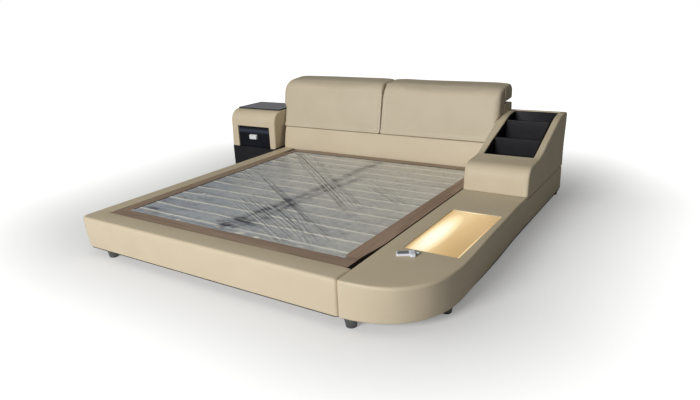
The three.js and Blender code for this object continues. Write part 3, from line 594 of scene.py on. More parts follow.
def filled(outline, step, holes=()):
    """Points and triangles that fill the outline round its holes, the outline's own points first."""
    loops = [outline, *holes]
    low, high = outline.min(0), outline.max(0)
    rows = np.arange(low[1] + step / 2, high[1], step * 0.87)
    grid = np.array([
        (x + (step / 2 if k % 2 else 0), y)
        for k, y in enumerate(rows)
        for x in np.arange(low[0] + step / 2, high[0], step)
    ])
    if len(grid):
        keep = inside(grid, outline) & (away(grid, outline) > step * 0.45)
        for hole in holes:
            keep &= ~inside(grid, hole) & (away(grid, hole) > step * 0.45)
        grid = grid[keep]
    points = [tuple(p) for loop in loops for p in loop] + [tuple(p) for p in grid]
    edges, at = [], 0
    for loop in loops:
        edges += [(at + i, at + (i + 1) % len(loop)) for i in range(len(loop))]
        at += len(loop)
    made, _, faces, origins, _, _ = delaunay_2d_cdt([Vector(p) for p in points], edges, [], 4, 1e-7)
    where = {i: (from_[0] if from_ else None) for i, from_ in enumerate(origins)}
    if any(v is None for v in where.values()) or len(made) != len(points):
        raise ValueError("the outline crosses itself")
    flat, faces = np.array(points), np.array([[where[v] for v in face] for face in faces])
    middle = flat[faces].mean(1)
    keep = np.ones(len(faces), bool)
    for hole in holes:
        keep &= ~inside(middle, hole)
    return flat, faces[keep]


print("outline helpers ready")


# %% Carry an outline along a direction
def between_rings(a, b, count, flip=False):
    """Quads that join ring a to ring b, each given by its first point's number."""
    quads = [(a + i, a + (i + 1) % count, b + (i + 1) % count, b + i) for i in range(count)]
    return [(n, m, p, q) for m, n, q, p in quads] if flip else quads


def soft_prism(outline, low, high, round_low, round_high, step, well=None):
    """Points (u, v, w) and faces of an outline in u, v carried along w.

    A well is (outline, lip radius, depth): a pocket sunk from the high end.
    """
    rings, heights = [], []
    turns = np.linspace(0, math.pi / 2, 6)
    for turn in turns:
        rings.append(drawn_in(outline, round_low * (1 - math.sin(turn))))
        heights.append(low + round_low * (1 - math.cos(turn)))
    span = (high - round_high) - (low + round_low)
    for k in range(1, max(1, math.ceil(span / step))):
        rings.append(outline)
        heights.append(low + round_low + span * k / max(1, math.ceil(span / step)))
    for turn in turns[::-1]:
        rings.append(drawn_in(outline, round_high * (1 - math.sin(turn))))
        heights.append(high - round_high * (1 - math.cos(turn)))
    count = len(outline)
    points = [(*p, w) for ring, w in zip(rings, heights) for p in ring]
    faces = []
    for r in range(len(rings) - 1):
        faces += between_rings(r * count, (r + 1) * count, count)

    def cap(loop, first, w, flip, holes=(), hole_first=None):
        flat, triangles = filled(loop, step, holes)
        own = len(loop)
        extra = sum(len(h) for h in holes)
        base = len(points)
        index = {i: first + i for i in range(own)}
        index.update({own + i: hole_first + i for i in range(extra)})
        index.update({own + extra + i: base + i for i in range(len(flat) - own - extra)})
        points.extend((*p, w) for p in flat[own + extra:])
        for a, b, c in triangles:
            face = (index[a], index[b], index[c])
            faces.append(face[::-1] if flip else face)

    cap(rings[0], 0, low, True)
    if well is None:
        cap(rings[-1], (len(rings) - 1) * count, high, False)
        return np.array(points), faces
    hole, lip, depth = well
    size = len(hole)
    steps_down = [(lip * (1 - math.sin(t)), lip * (1 - math.cos(t))) for t in np.linspace(0, math.pi / 2, 5)]
    first = len(points)
    levels = [(out, high - down) for out, down in steps_down] + [(0.0, high - depth)]
    for out, w in levels:
        points.extend((*p, w) for p in drawn_in(hole, -out))
    for r in range(len(levels) - 1):
        faces += between_rings(first + r * size, first + (r + 1) * size, size, flip=True)
    cap(rings[-1], (len(rings) - 1) * count, high, False, [drawn_in(hole, -lip)], first)
    cap(hole, first + (len(levels) - 1) * size, high - depth, False)
    return np.array(points), faces


def as_side(points):
    """Outline drawn in depth and height, carried along X."""
    return points[:, [2, 0, 1]]


def as_front(points):
    """Outline drawn across and up, carried towards the front."""
    return np.stack([points[:, 0], -points[:, 2], points[:, 1]], 1)


def bake(obj):
    """Replaces the mesh by its evaluated form and removes the modifiers."""
    depsgraph = bpy.context.evaluated_depsgraph_get()
    mesh = bpy.data.meshes.new_from_object(obj.evaluated_get(depsgraph))
    old = obj.data
    obj.modifiers.clear()
    obj.data = mesh
    bpy.data.meshes.remove(old)


def coords(mesh):
    flat = np.empty(len(mesh.vertices) * 3, np.float64)
    mesh.vertices.foreach_get("co", flat)
    return flat.reshape(-1, 3)


def set_coords(obj, points):
    obj.data.vertices.foreach_set("co", np.asarray(points, np.float32).ravel())
    obj.data.update()


def changed(obj, kind, **settings):
    """Runs one modifier on the object for good."""
    modified(obj, kind, **settings)
    bake(obj)


def weigh_normals(obj):
    """Large faces decide the shading at their edges, so flats stay flat and the round edge looks tight."""
    changed(obj, "WEIGHTED_NORMAL", keep_sharp=True)


def piece(name, points, faces, material, body=None, replaced=(), slot=None):
    """One finished mesh; with a body it rides on it, and it stands for the replaced nodes; slot is not used."""
    mesh = bpy.data.meshes.new(name)
    mesh.from_pydata([tuple(p) for p in points], [], [tuple(int(i) for i in f) for f in faces])
    mesh.validate()
    work = bmesh.new()
    work.from_mesh(mesh)
    bmesh.ops.remove_doubles(work, verts=work.verts, dist=1e-6)
    bmesh.ops.recalc_face_normals(work, faces=work.faces)
    work.to_mesh(mesh)
    work.free()
    mesh.shade_smooth()
    mesh.set_sharp_from_angle(angle=math.radians(50))
    mesh.materials.append(material)
    obj = placed_in_scene(name, mesh)
    if body:
        weigh_normals(obj)
        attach(obj, body)
    if replaced:
        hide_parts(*replaced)
    return obj


def ripple(points, scale, amount, seed):
    """Slow unevenness of hand-pulled leather, one value for each point."""
    shift = Vector((seed * 13.7, seed * 5.1, seed * 2.3))
    return np.array([noise.noise(Vector(p) * scale + shift) for p in points]) * amount


print("prism helpers ready")

# %% [markdown]
# The surround: foot panel, left rail and chaise are boards under thin foam. Their tops
# are nearly flat, so the swelling is only two or three millimetres, fullest halfway
# between the edges.

# %% Foot panel and left rail
rail_low, rail_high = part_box("left_rail")
foot_low, foot_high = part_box("foot_panel")
chaise_low, chaise_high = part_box("chaise_body")
panel_edge, seam_corner, under_edge, skin_step = 0.015, 0.028, 0.008, 0.026


def squared(points, corner, radius, into):
    """Draws a round plan corner out towards a tighter one; into points from the corner inwards."""
    middle = np.array(corner) + np.array(into) * radius
    out = points.copy()
    local = (points[:, :2] - middle) * -np.array(into) / radius
    near = (local[:, 0] > 0) & (local[:, 1] > 0)
    u, v = local[near, 0], local[near, 1]
    size = np.maximum(np.hypot(u, v), 1e-9)
    stretch = 1 / ((np.abs(u / size) ** 5 + np.abs(v / size) ** 5) ** 0.2)
    out[near, :2] = middle + (points[near, :2] - middle) * stretch[:, None]
    return out


def tightened(points, top, near, deep=1.35, tight=0.5, reach=panel_edge):
    """Deepens the round upper edge, except where near is one, as beside the boards."""
    edge = points[:, 2] > top - reach - 1e-6
    drop = top - points[:, 2]
    points[:, 2] = np.where(edge, top - drop * (deep + (tight - deep) * near), points[:, 2])


def pulled(points, axis, side, near, keep=0.5, reach=panel_edge):
    """Brings the rings of a round edge closer to its straight side where near is one."""
    off = points[:, axis] - side
    close = np.abs(off) < reach + 1e-6
    points[:, axis] = np.where(close, side + off * (1 - (1 - keep) * near), points[:, axis])


def ramp(value, start, end):
    """Zero before start, one after end, smooth in between."""
    share = np.clip((value - start) / (end - start), 0, 1)
    return share * share * (3 - 2 * share)


def plump_top(points, outline, top, amount, seed):
    """Lifts the top between its edges by a few millimetres, a little unevenly."""
    on_top = np.clip((points[:, 2] - (top - 0.006)) / 0.006, 0, 1)
    inner = np.clip(away(points[:, :2], outline) / 0.09, 0, 1)
    swell = inner * (2 - inner)
    points[:, 2] += on_top * swell * (amount + ripple(points, 4.0, amount * 0.5, seed))


def leaning_in(x, y, drop):
    """How far the foot panel's left end leans in; drop is zero at the top and one at the bottom."""
    fade = np.clip((-0.95 - y) / 0.195, 0, 1)
    return 0.045 * drop * np.clip((rail_high.x - x) / 0.119, 0, 1) * fade * fade * (3 - 2 * fade)


surround = [
    (rail_low.x, foot_low.y), (foot_high.x, foot_low.y), (foot_high.x, foot_high.y), (rail_high.x, foot_high.y),
    (rail_high.x, rail_high.y), (rail_low.x, rail_high.y),
]
surround_line = evenly(rounded(surround, [0.052, seam_corner, seam_corner, 0, seam_corner, seam_corner]), skin_step)
points, faces = soft_prism(surround_line, foot_low.z, foot_high.z, under_edge, panel_edge, skin_step)

# The front face bows out, and the corners by the chaise's seam are drawn tight
x, y, z = points.T
height_share = np.clip((z - foot_low.z) / (foot_high.z - foot_low.z), 0, 1)
front_face = np.clip((-1.24 - y) / 0.04, 0, 1)
bow = 1 - (2 * height_share - 1) ** 2
y -= front_face * bow * (0.003 + ripple(points, 3.0, 0.0016, 1))
points = squared(points, (foot_high.x, foot_low.y), seam_corner, (-1, 1))
points = squared(points, (foot_high.x, foot_high.y), seam_corner, (-1, -1))
x, y, z = points.T

# The upper edge is tighter along the boards, and at the chaise's seam by half
by_boards = np.minimum(ramp(x, rail_high.x - 0.07, rail_high.x - 0.04), ramp(y, foot_high.y - 0.07, foot_high.y - 0.04))
by_seam = 0.55 * ramp(x, foot_high.x - 0.06, foot_high.x - 0.03)
tightened(points, foot_high.z, np.maximum(by_boards, by_seam))
pulled(points, 1, foot_high.y, ramp(x, rail_high.x, rail_high.x + 0.05) * ramp(foot_high.x - x, 0.03, 0.07))
pulled(points, 0, rail_high.x, ramp(y, foot_high.y, foot_high.y + 0.05) * ramp(rail_high.y - y, 0.03, 0.07))
x += leaning_in(x, y, 1 - height_share)
plump_top(points, surround_line, foot_high.z, 0.0024, 2)

# A sewn crease runs on from the foot board's line across the rail
mitre = np.abs(y - foot_high.y) / 0.006
crease = np.exp(-mitre**2) * (x < rail_high.x - 0.002) * (z > 0.24)
z -= 0.0016 * crease
surround_pad = piece("surround_pad", points, faces, cream, "bed", ["foot_panel", "left_rail"], "cream_leather")
print("surround faces", len(surround_pad.data.polygons))

# %% Chaise with its light pocket
pocket_low, pocket_high = Vector((1.2031, -0.7930, 0.1640)), Vector((1.5192, -0.1110, 0.256))
cabinet_low, cabinet_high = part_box("cabinet_shell")


def bezier(a, b, c, d, count):
    t = np.linspace(0, 1, count + 1)[1:, None]
    return (1 - t) ** 3 * a + 3 * (1 - t) ** 2 * t * b + 3 * (1 - t) * t**2 * c + t**3 * d


def chaise_outline():
    left, right, front, back = chaise_low.x, chaise_high.x, chaise_low.y, chaise_high.y
    seam, run, early, late, fuller = seam_corner, 0.459, 0.300, 0.784, 0.009
    reach = right + fuller - left - seam
    start, end = np.array([left + seam, front]), np.array([right + fuller, front + run])
    curve = [start, *bezier(start, start + (reach * early, 0), end - (0, run * late), end, 40)]
    corner = rounded([(left, back - 0.3), (left, front), (left + 0.3, front)], [0, seam, 0])[1:-1]
    back_right = rounded([(right, back - 0.3), (right, back), (right - 0.3, back)], [0, seam, 0])[1:-1]
    back_left = rounded([(left + 0.3, back), (left, back), (left, back - 0.3)], [0, seam, 0])[1:-1]
    ys = [cabinet_low.y - 0.003, cabinet_low.y + 0.001]
    side = [(right + fuller * (1 - ramp(y, -0.30, 0.15)), y) for y in np.linspace(-0.32, 0.15, 9)]
    side += [(right, y) for y in ys]
    inner = [(left, y) for y in ys[::-1]]
    return evenly([*corner[:-1], *curve, *side, *back_right, *back_left, *inner], skin_step)


seat_edge, pocket_lip, corner_x, corner_y = 0.008, 0.004, 1.15, -0.82
chaise_line = chaise_outline()
hole = evenly(rounded(rectangle(pocket_low, pocket_high), 0.006, 4), skin_step)
well = (hole, pocket_lip, pocket_high.z - pocket_low.z)
points, faces = soft_prism(chaise_line, chaise_low.z, chaise_high.z, under_edge, seat_edge, skin_step, well)
points = squared(points, (chaise_low.x, chaise_low.y), seam_corner, (1, 1))
x, y, z = points.T

# The upper edge is round at the front corner and tight beside the boards, the side and the pocket
by_boards = ramp(-x, -chaise_low.x - 0.07, -chaise_low.x - 0.04) * (0.55 + 0.45 * ramp(y, -1.22, -1.12))
by_side = 0.95 * ramp(x, chaise_high.x - 0.09, chaise_high.x - 0.03) * ramp(y, -1.10, -0.78)
by_pocket = 1.0 * (away(points[:, :2], hole) < 0.006)
tightened(points, chaise_high.z, np.maximum(np.maximum(by_boards, by_side), by_pocket), 2.2, 0.9, seat_edge)

# The sides lean out towards the top, most round the front corner
tall = np.clip((z - chaise_low.z) / (chaise_high.z - chaise_low.z), 0, 1)
full = np.interp(y, [-1.10, -1.00, -0.92, -0.78, -0.60, -0.30], [0.034, 0.026, 0.019, 0.018, 0.012, 0])
full *= ramp(x, corner_x, 1.42)
full *= (0.25 + 0.75 * tall) * np.clip(1 - away(points[:, :2], chaise_line) / 0.028, 0, 1)
outward = np.stack([x - corner_x, np.minimum(y - corner_y, 0)], 1)
points[:, :2] += outward / np.maximum(np.hypot(*outward.T), 1e-6)[:, None] * full[:, None]

# Under the bookcase the whole seat is pressed down to its bottom; the rest swells a little
under = y > cabinet_low.y - 0.001
squeeze = (cabinet_low.z - 0.0006 - chaise_low.z) / (chaise_high.z - chaise_low.z)
z[under] = chaise_low.z + (z[under] - chaise_low.z) * squeeze
rise = np.clip((z - 0.25) / 0.006, 0, 1) * ~under
rim = np.clip(away(points[:, :2], hole) / 0.05, 0, 1)
edge = np.clip(away(points[:, :2], chaise_line) / 0.06, 0, 1)
z += rise * edge * (2 - edge) * rim * (0.0012 + ripple(points, 4.0, 0.0009, 4))
chaise_pad = piece("chaise_pad", points, faces, cream, "bed", ["chaise_body"], "cream_leather")
print("chaise faces", len(chaise_pad.data.polygons))

# %% [markdown]
# The bookcase and the bedside cabinet are leather-wrapped boxes with one opening each.
# The skin is a grid: lines across and lines round the side outline. Cells inside the
# opening are left out, the rim round it is turned in by a small radius, and its edge is
# carried inwards as a wall.


# %% Box with one opening
lip_shares = (0.05, 0.2, 0.45, 0.7, 1.0)


def from_gap(line, start, gap, lip, step):
    """The closed line resampled so that it begins at the gap; also the place where the gap ends."""
    line = np.array(line, float)
    closed = np.vstack([line, line[:1]])
    at = np.r_[0, np.cumsum(np.linalg.norm(np.diff(closed, axis=0), axis=1))]
    total = at[-1]
    fixed = [0.0, gap, *(gap + lip * s for s in lip_shares), *(total - lip * s for s in lip_shares)]
    own = [(s - start) % total for s in at[:-1]]
    own = [s for s in own if min(abs(s - f) for f in [*fixed, total]) > 0.0015]
    marks = sorted([*fixed, *own])
    marks = [m for i, m in enumerate(marks) if i == 0 or m - marks[i - 1] > 1e-5 or m in fixed]
    spots = []
    for m, n in zip(marks, [*marks[1:], total]):
        pieces = max(1, math.ceil((n - m) / step))
        spots += [m + (n - m) * k / pieces for k in range(pieces)]
    spots = np.array(spots)
    real = (start + spots) % total
    points = np.stack([np.interp(real, at, closed[:, 0]), np.interp(real, at, closed[:, 1])], 1)
    return points, int(np.argmin(np.abs(spots - gap)))


def place_on(line, test):
    """Length along the closed line at which a test of the points changes sign."""
    closed = [*line, line[0]]
    run = 0.0
    for a, b in zip(closed, closed[1:]):
        a, b = np.array(a, float), np.array(b, float)
        first, second = test(a), test(b)
        length = float(np.linalg.norm(b - a))
        if first is not None and second is not None and first * second <= 0 and first != second:
            return run + length * first / (first - second)
        run += length
    raise ValueError("no such place on the line")


def boxed(line, start, gap, low_x, high_x, edge, open_x, lip, step):
    """Side outline in (y, z) carried along X, with the gap of the line left open between open_x."""
    x0, x1 = open_x
    outline, last = from_gap(line, start, gap, lip, step)
    count = len(outline)
    turns = np.linspace(0, math.pi / 2, 6)
    stations = [(low_x + edge * (1 - math.cos(t)), edge * (1 - math.sin(t))) for t in turns]
    marks = [x0 - lip * s for s in lip_shares[::-1]] + [x0, x1] + [x1 + lip * s for s in lip_shares] + [high_x - edge]
    for a, b in zip([low_x + edge, *marks], marks):
        pieces = max(1, math.ceil((b - a) / step))
        stations += [(a + (b - a) * k / pieces, 0.0) for k in range(1, pieces + 1)]
    stations += [(high_x - edge * (1 - math.cos(t)), edge * (1 - math.sin(t))) for t in turns[::-1][1:]]
    run = np.r_[0, np.cumsum(np.linalg.norm(np.diff(outline, axis=0), axis=1))]
    total = run[-1] + np.linalg.norm(outline[0] - outline[-1])
    past = np.maximum(0, np.minimum(run - run[last], total - run))
    inward = drawn_in(outline, 1.0) - outline
    points, faces = [], []
    for x, inset in stations:
        beside = max(x0 - x, x - x1, 0)
        reach = np.hypot(beside, past)
        sink = np.where(reach < lip, lip - np.sqrt(np.maximum(lip**2 - (lip - reach) ** 2, 0)), 0)
        ring = drawn_in(outline, inset) + inward * sink[:, None]
        points += [(x, y, z) for y, z in ring]
    for s in range(len(stations) - 1):
        open_here = stations[s][0] > x0 - 1e-6 and stations[s + 1][0] < x1 + 1e-6
        faces += between_rings(s * count, (s + 1) * count, count)[last if open_here else 0:]
    for at, flip in ((0, True), (len(stations) - 1, False)):
        flat, triangles = filled(drawn_in(outline, edge), 0.03)
        base = len(points)
        points += [(stations[at][0], y, z) for y, z in flat[count:]]
        for triangle in triangles:
            face = tuple(at * count + v if v < count else base + v - count for v in triangle)
            faces.append(face[::-1] if flip else face)
    return points, faces


def free_rim(faces):
    """The points round the one opening, in order."""
    edges = {(a, b) for face in faces for a, b in zip(face, (*face[1:], face[0]))}
    after = {b: a for a, b in edges if (b, a) not in edges}
    rim = [next(iter(after))]
    while after[rim[-1]] != rim[0]:
        rim.append(after[rim[-1]])
    return rim


print("box helpers ready")

# %% Bookcase shell
cabinet_depth, cabinet_rise = 0.975, 0.434
slope = [
    [(0.0, 0.0)], [(0.012, 0.26)], [(0.02, 0.44), (0.055, 0.485), (0.13, 0.488)], [(0.235, 0.505)],
    [(0.3, 0.52), (0.36, 0.575), (0.44, 0.665)], [(0.63, 0.845)], [(0.71, 0.92), (0.76, 0.985), (0.86, 0.995)],
]
bin_x0, bin_x1, bin_y0, bin_y1, bin_floor = 1.1452, 1.4991, 0.589, 1.249, 0.2478


def rim_spot(share):
    return np.array([cabinet_low.y + share[0] * cabinet_depth, cabinet_low.z + share[1] * cabinet_rise])


def slope_line():
    """The sloping rim from the front foot up to the level top."""
    line = [rim_spot(slope[0][0])]
    for entry in slope[1:]:
        if len(entry) == 1:
            line.append(rim_spot(entry[0]))
        else:
            line += list(bezier(line[-1], *(rim_spot(s) for s in entry), 12))
    return line


def cabinet_side():
    """Counter-clockwise in depth and height: bottom, back, top, then down the slope."""
    line = slope_line()
    top, back = cabinet_low.z + cabinet_rise, cabinet_high.y
    corners = [(cabinet_low.y, cabinet_low.z), (back, cabinet_low.z), (back, top), (line[-1][0], top)]
    return [*rounded(corners, [0, 0.018, 0.022, 0]), *line[1:][::-1]]


def above(height, mark):
    return lambda p: p[0] - mark if p[1] > height else None


cabinet_line = cabinet_side()
gap_start = place_on(cabinet_line, above(0.44, bin_y1))
gap_end = place_on(cabinet_line, above(0.44, bin_y0))
points, faces = boxed(
    cabinet_line, gap_start, gap_end - gap_start, cabinet_low.x, cabinet_high.x, 0.014, (bin_x0, bin_x1), 0.010, 0.020,
)
rim = free_rim(faces)
first = len(points)
count = len(rim)
points += [(points[v][0], points[v][1], points[v][2] - 0.010) for v in rim]
points += [(points[v][0], points[v][1], bin_floor) for v in rim]
for k in range(count):
    n = (k + 1) % count
    faces.append((rim[k], rim[n], first + n, first + k))
    faces.append((first + k, first + n, first + count + n, first + count + k))
faces.append(tuple(first + count + k for k in range(count)))
points = np.array(points)
x, y, z = points.T
by_rim = np.minimum(ramp(x, cabinet_low.x, bin_x0), np.clip(1 - (x - bin_x0) / 0.06, 0, 1))
by_rim[first:] = 0
x += 0.024 * by_rim * ramp(z, 0.46, 0.65)
x += 0.010 * ramp(x, 1.42, bin_x1) * ramp(z, 0.34, 0.668)
bow = np.clip((0.36 - y) / 0.03, 0, 1) * np.clip((z - 0.25) / 0.05, 0, 1)
wide = np.clip((x - cabinet_low.x) / (cabinet_high.x - cabinet_low.x), 0, 1)
y += bow * (0.002 * (2 * wide - 1) ** 4 + ripple(points, 5.0, 0.0015, 11))
cabinet_pad = piece("bookcase_shell_pad", points, faces, cream, "bed", ["cabinet_shell"], "cream_leather")
print("bookcase faces", len(cabinet_pad.data.polygons), "rim points", len(rim))

# %% Bedside cabinet shell
shell_low, shell_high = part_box("stand_shell")
roll_radius, open_x0, open_x1, open_top, open_back = 0.104, -1.4731, -1.0729, 0.451, 1.2332
stand_corners = [
    (shell_high.y, shell_low.z), (shell_high.y, shell_high.z), (shell_low.y, shell_high.z), (shell_low.y, shell_low.z),
]
stand_line = rounded(stand_corners, [0, 0.022, roll_radius, 0], 12)
gap_start = place_on(stand_line, lambda p: p[1] - open_top if p[0] < shell_low.y + 0.001 else None)
gap_length = (open_top - shell_low.z) + (open_back - shell_low.y)
points, faces = boxed(
    stand_line, gap_start, gap_length, shell_low.x, shell_high.x, 0.014, (open_x0, open_x1), 0.005, 0.020,
)
rim = free_rim(faces)
spots = np.array([points[v] for v in rim])
targets = np.array([
    (open_x0, shell_low.y, open_top), (open_x1, shell_low.y, open_top),
    (open_x1, open_back, shell_low.z), (open_x0, open_back, shell_low.z),
])
marks = [int(np.argmin(np.linalg.norm(spots - t, axis=1))) for t in targets]
inner = {0: len(points), 1: len(points) + 1}
points += [(open_x0, open_back, open_top), (open_x1, open_back, open_top)]


def rim_run(a, b):
    """Rim points from one corner to the next, the way that passes no other corner."""
    for sign in (1, -1):
        run, at = [marks[a]], marks[a]
        while at != marks[b]:
            at = (at + sign) % len(rim)
            run.append(at)
        if not any(m in run[1:-1] for m in marks):
            return [rim[k] for k in run]
    raise ValueError("corners out of order")


faces.append(tuple([*rim_run(0, 1), inner[1], inner[0]]))
faces.append(tuple([*rim_run(1, 2), inner[1]]))
faces.append(tuple([*rim_run(2, 3), inner[0], inner[1]]))
faces.append(tuple([*rim_run(3, 0), inner[0]]))
stand_middle = (open_x0 + open_x1) / 2


def upright(points):
    """The outer walls stand a little further to the left towards the bottom."""
    wall = ramp(np.abs(points[:, 0] - stand_middle), 0.205, 0.262)
    points[:, 0] += wall * (0.003 - 0.015 * np.clip((shell_high.z - points[:, 2]) / 0.36, 0, 1))
    return points


points = upright(np.array([tuple(p) for p in points], float))
stand_pad = piece("bedside_shell_pad", points, faces, cream, "bed", ["stand_shell"], "cream_leather")

# %% [markdown]
# The dark slab on top overhangs the shell a little to the front, most at its right
# corner; only its upper face is glass, its edges are plain black. The plinth is a low
# box in black leather, set further out on the left like the wall above it.

# %% Bedside top and plinth
slab_low, slab_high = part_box("stand_glass_top")
slab_corners = [
    (slab_low.x + 0.006, slab_low.y - 0.006), (slab_high.x + 0.006, slab_low.y - 0.014),
    (slab_high.x + 0.006, slab_high.y), (slab_low.x + 0.002, slab_high.y),
]
slab_line = evenly(rounded(slab_corners, [0.004, 0.018, 0.004, 0.004]), 0.03)
points, faces = soft_prism(slab_line, slab_low.z, slab_high.z + 0.0015, 0.0012, 0.0012, 0.03)
slab_top = piece("bedside_slab", points, faces, slab_glass, "bed", ["stand_glass_top"], "dark_glass")
slab_top.data.materials.append(edge_trim)
for face in slab_top.data.polygons:
    face.material_index = int(face.normal.z < 0.5)
plinth_low, plinth_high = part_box("stand_plinth")
plinth_line = evenly(rounded(rectangle(plinth_low, plinth_high), 0.006), 0.04)
points, faces = soft_prism(plinth_line, plinth_low.z, plinth_high.z, 0.003, 0.003, 0.04)
points[:, 0] -= 0.012 * (points[:, 0] < stand_middle)
piece("bedside_plinth_wrap", points, faces, black_hide, "bed", ["stand_plinth"], "black_leather")
print("bedside faces", len(stand_pad.data.polygons), "rim points", len(rim))

# %% [markdown]
# The headboard: a leather-wrapped core with a shelf for the hinges, a padded lower
# panel, and two deep foam cushions that run from the seam over the rounded top.

# %% Headboard core and lower panel
core_low, core_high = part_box("headboard_frame")
panel_low, panel_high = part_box("headboard_lower_panel")
lean = 0.105 / 0.479
face_foot, pad_depth, platform = 0.895, 0.120, 0.256
fold_y, fold_shelf, beside_case = 1.120, 0.735, 1.0945


def face_y(height):
    return face_foot + lean * max(height - platform, 0.0)


core_side = rounded([
    (1.015, core_low.z), (core_high.y, core_low.z), (core_high.y, 0.727), (1.185, fold_shelf), (fold_y, fold_shelf),
    (1.015, platform),
], [0.009, 0.014, 0.014, 0, 0.009, 0])
core_line = evenly(core_side, 0.03)
points, faces = soft_prism(core_line, core_low.x, core_high.x, 0.006, 0.006, 0.03)
points = as_side(points)
x, y, z = points.T
back_face = np.clip((y - 1.285) / 0.01, 0, 1)
y += ripple(points, 2.4, 0.0018, 5) * back_face
beside_shelf = np.clip((0.645 - z) / 0.006, 0, 1) * (x > beside_case)
x[:] = x * (1 - beside_shelf) + np.minimum(x, beside_case) * beside_shelf
core_pad = piece("headboard_core_wrap", points, faces, cream, "bed", ["headboard_frame"], "cream_leather")

panel_top = panel_high.z - 0.0055
panel_front = [
    (face_y(z) - 0.006 * (1 - ((2 * z - platform - panel_top) / (panel_top - platform)) ** 2), z)
    for z in np.linspace(panel_top - 0.030, platform, 9)
]
panel_outline = rounded([
    (face_foot, panel_low.z), (1.0147, panel_low.z), (1.0147, platform),
    (face_y(panel_top) + pad_depth - 0.001, panel_top), (face_y(panel_top), panel_top), *panel_front,
], [0.011, 0.011, 0, 0.011, 0.012, *[0] * 9])
points, faces = soft_prism(evenly(panel_outline, 0.02), panel_low.x - 0.002, panel_high.x, 0.009, 0.009, 0.03)
points = as_side(points)
front_share = np.clip((1.0 - points[:, 1] + lean * np.clip(points[:, 2] - platform, 0, 1)) / 0.09, 0, 1)
points[:, 1] += ripple(points, 3.0, 0.0016, 6) * front_share
lower_pad = piece("headboard_lower_pad", points, faces, cream, "bed", ["headboard_lower_panel"], "cream_leather")
print("core and lower panel faces", len(core_pad.data.polygons), len(lower_pad.data.polygons))


# %% [markdown]
# A back cushion starts as a plain form a little smaller than the real one. It is
# remeshed evenly, blown up with cloth pressure, and each point is kept within a cap of
# where it began. The back stays flat, because it rests on the core.


# %% Back cushions
seam_z, seam_rest, back_top = 0.4508, 0.4510, 0.8700
pressure, pressure_cap, quick_swell = 4.0, 0.022, 0.012


def cushion_outline():
    """Seam, front face, rounded top and flat back, a little past the fold so that it can be cut flat."""
    top_z, past = 0.8635, 0.045
    corners = [
        (fold_y + past, 0.736), (fold_y + past, back_top), (face_y(top_z) - 0.002, top_z),
        (face_y(seam_z), seam_z), (face_y(seam_z) + pad_depth + 0.010, seam_z),
    ]
    return rounded(corners, [0, 0, 0.078, 0.019, 0])


def inflate(obj, pressure, cap, hold):
    """Cloth pressure for twenty frames; hold gives each point's share of the cap."""
    before = coords(obj.data)
    cloth = obj.modifiers.new("cloth", "CLOTH").settings
    cloth.quality, cloth.mass = 4, 0.3
    cloth.use_pressure, cloth.uniform_pressure_force = True, pressure
    cloth.effector_weights.gravity = 0
    cloth.tension_stiffness = cloth.compression_stiffness = 18
    cloth.bending_stiffness = 1.5
    for moment in range(1, 21):
        scene.frame_set(moment)
    depsgraph = bpy.context.evaluated_depsgraph_get()
    blown = bpy.data.meshes.new_from_object(obj.evaluated_get(depsgraph))
    move = coords(blown) - before
    obj.modifiers.clear()
    bpy.data.meshes.remove(blown)
    far = np.linalg.norm(move, axis=1)
    limit = cap * hold(before)
    scale = np.where(far > 1e-9, np.minimum(1.0, limit / np.maximum(far, 1e-9)), 0.0)
    set_coords(obj, before + move * scale[:, None])
    scene.frame_set(1)
    return float((far * scale).max())


def cut_flat(obj, fold, side):
    """Cuts off what lies on one side of the fold plane and closes the cut with one flat face."""
    work = bmesh.new()
    work.from_mesh(obj.data)
    bmesh.ops.bisect_plane(
        work, geom=[*work.verts, *work.edges, *work.faces], dist=1e-6, plane_co=(0, fold, 0), plane_no=(0, side, 0),
        clear_outer=True,
    )
    rim = [e for e in work.edges if e.is_boundary]
    bmesh.ops.holes_fill(work, edges=rim, sides=0)
    bmesh.ops.recalc_face_normals(work, faces=work.faces)
    work.to_mesh(obj.data)
    work.free()


def top_crown(points, low_x, high_x, seed):
    """How much the soft top stands up between its ends, the same for a cushion and its block."""
    ends = np.minimum(points[:, 0] - low_x, high_x - points[:, 0])
    shift = Vector((seed * 3.1, 0.4, 0.9))
    uneven = np.array([noise.noise(Vector((x * 2.2, 0.0, 0.0)) + shift) for x in points[:, 0]])
    return (0.0050 + 0.0020 * uneven) * ramp(ends, 0.0, 0.14)


def end_fall(points, end, reach):
    """How far a round end of this reach falls back from the flat."""
    near = np.clip(1 - np.abs(points[:, 0] - end) / reach, 0, 1)
    return reach * (1 - np.sqrt(np.clip(1 - near**2, 0, 1)))


def fuller_left(points, low_x):
    """The left end stands out a little past the frame, more so above the bedside cabinet."""
    out = 0.006 + 0.026 * ramp(points[:, 2], 0.620, 0.67) - 0.016 * ramp(points[:, 2], 0.74, 0.87)
    return out * ramp(low_x + 0.25 - points[:, 0], 0, 0.25)


def uneven_top(points):
    """The soft top sits up to thirteen millimetres higher at the left than at the right."""
    lift = -0.0045 * (points[:, 0] - 0.065) + 0.008 * (1 - ramp(points[:, 0], 0.0, 0.45))
    return lift * ramp(points[:, 2], 0.74, 0.86)


def level_with_block(now):
    """Towards the fold the top runs level with the headrest block behind it."""
    _, y, z = now.T
    slope_top = back_top - 0.084 * np.maximum(fold_y - y, 0.0)
    z[:] = np.minimum(z, slope_top + 0.0005)
    z += (slope_top - z) * (ramp(y, 1.055, 1.105) * ramp(z, 0.835, 0.855))


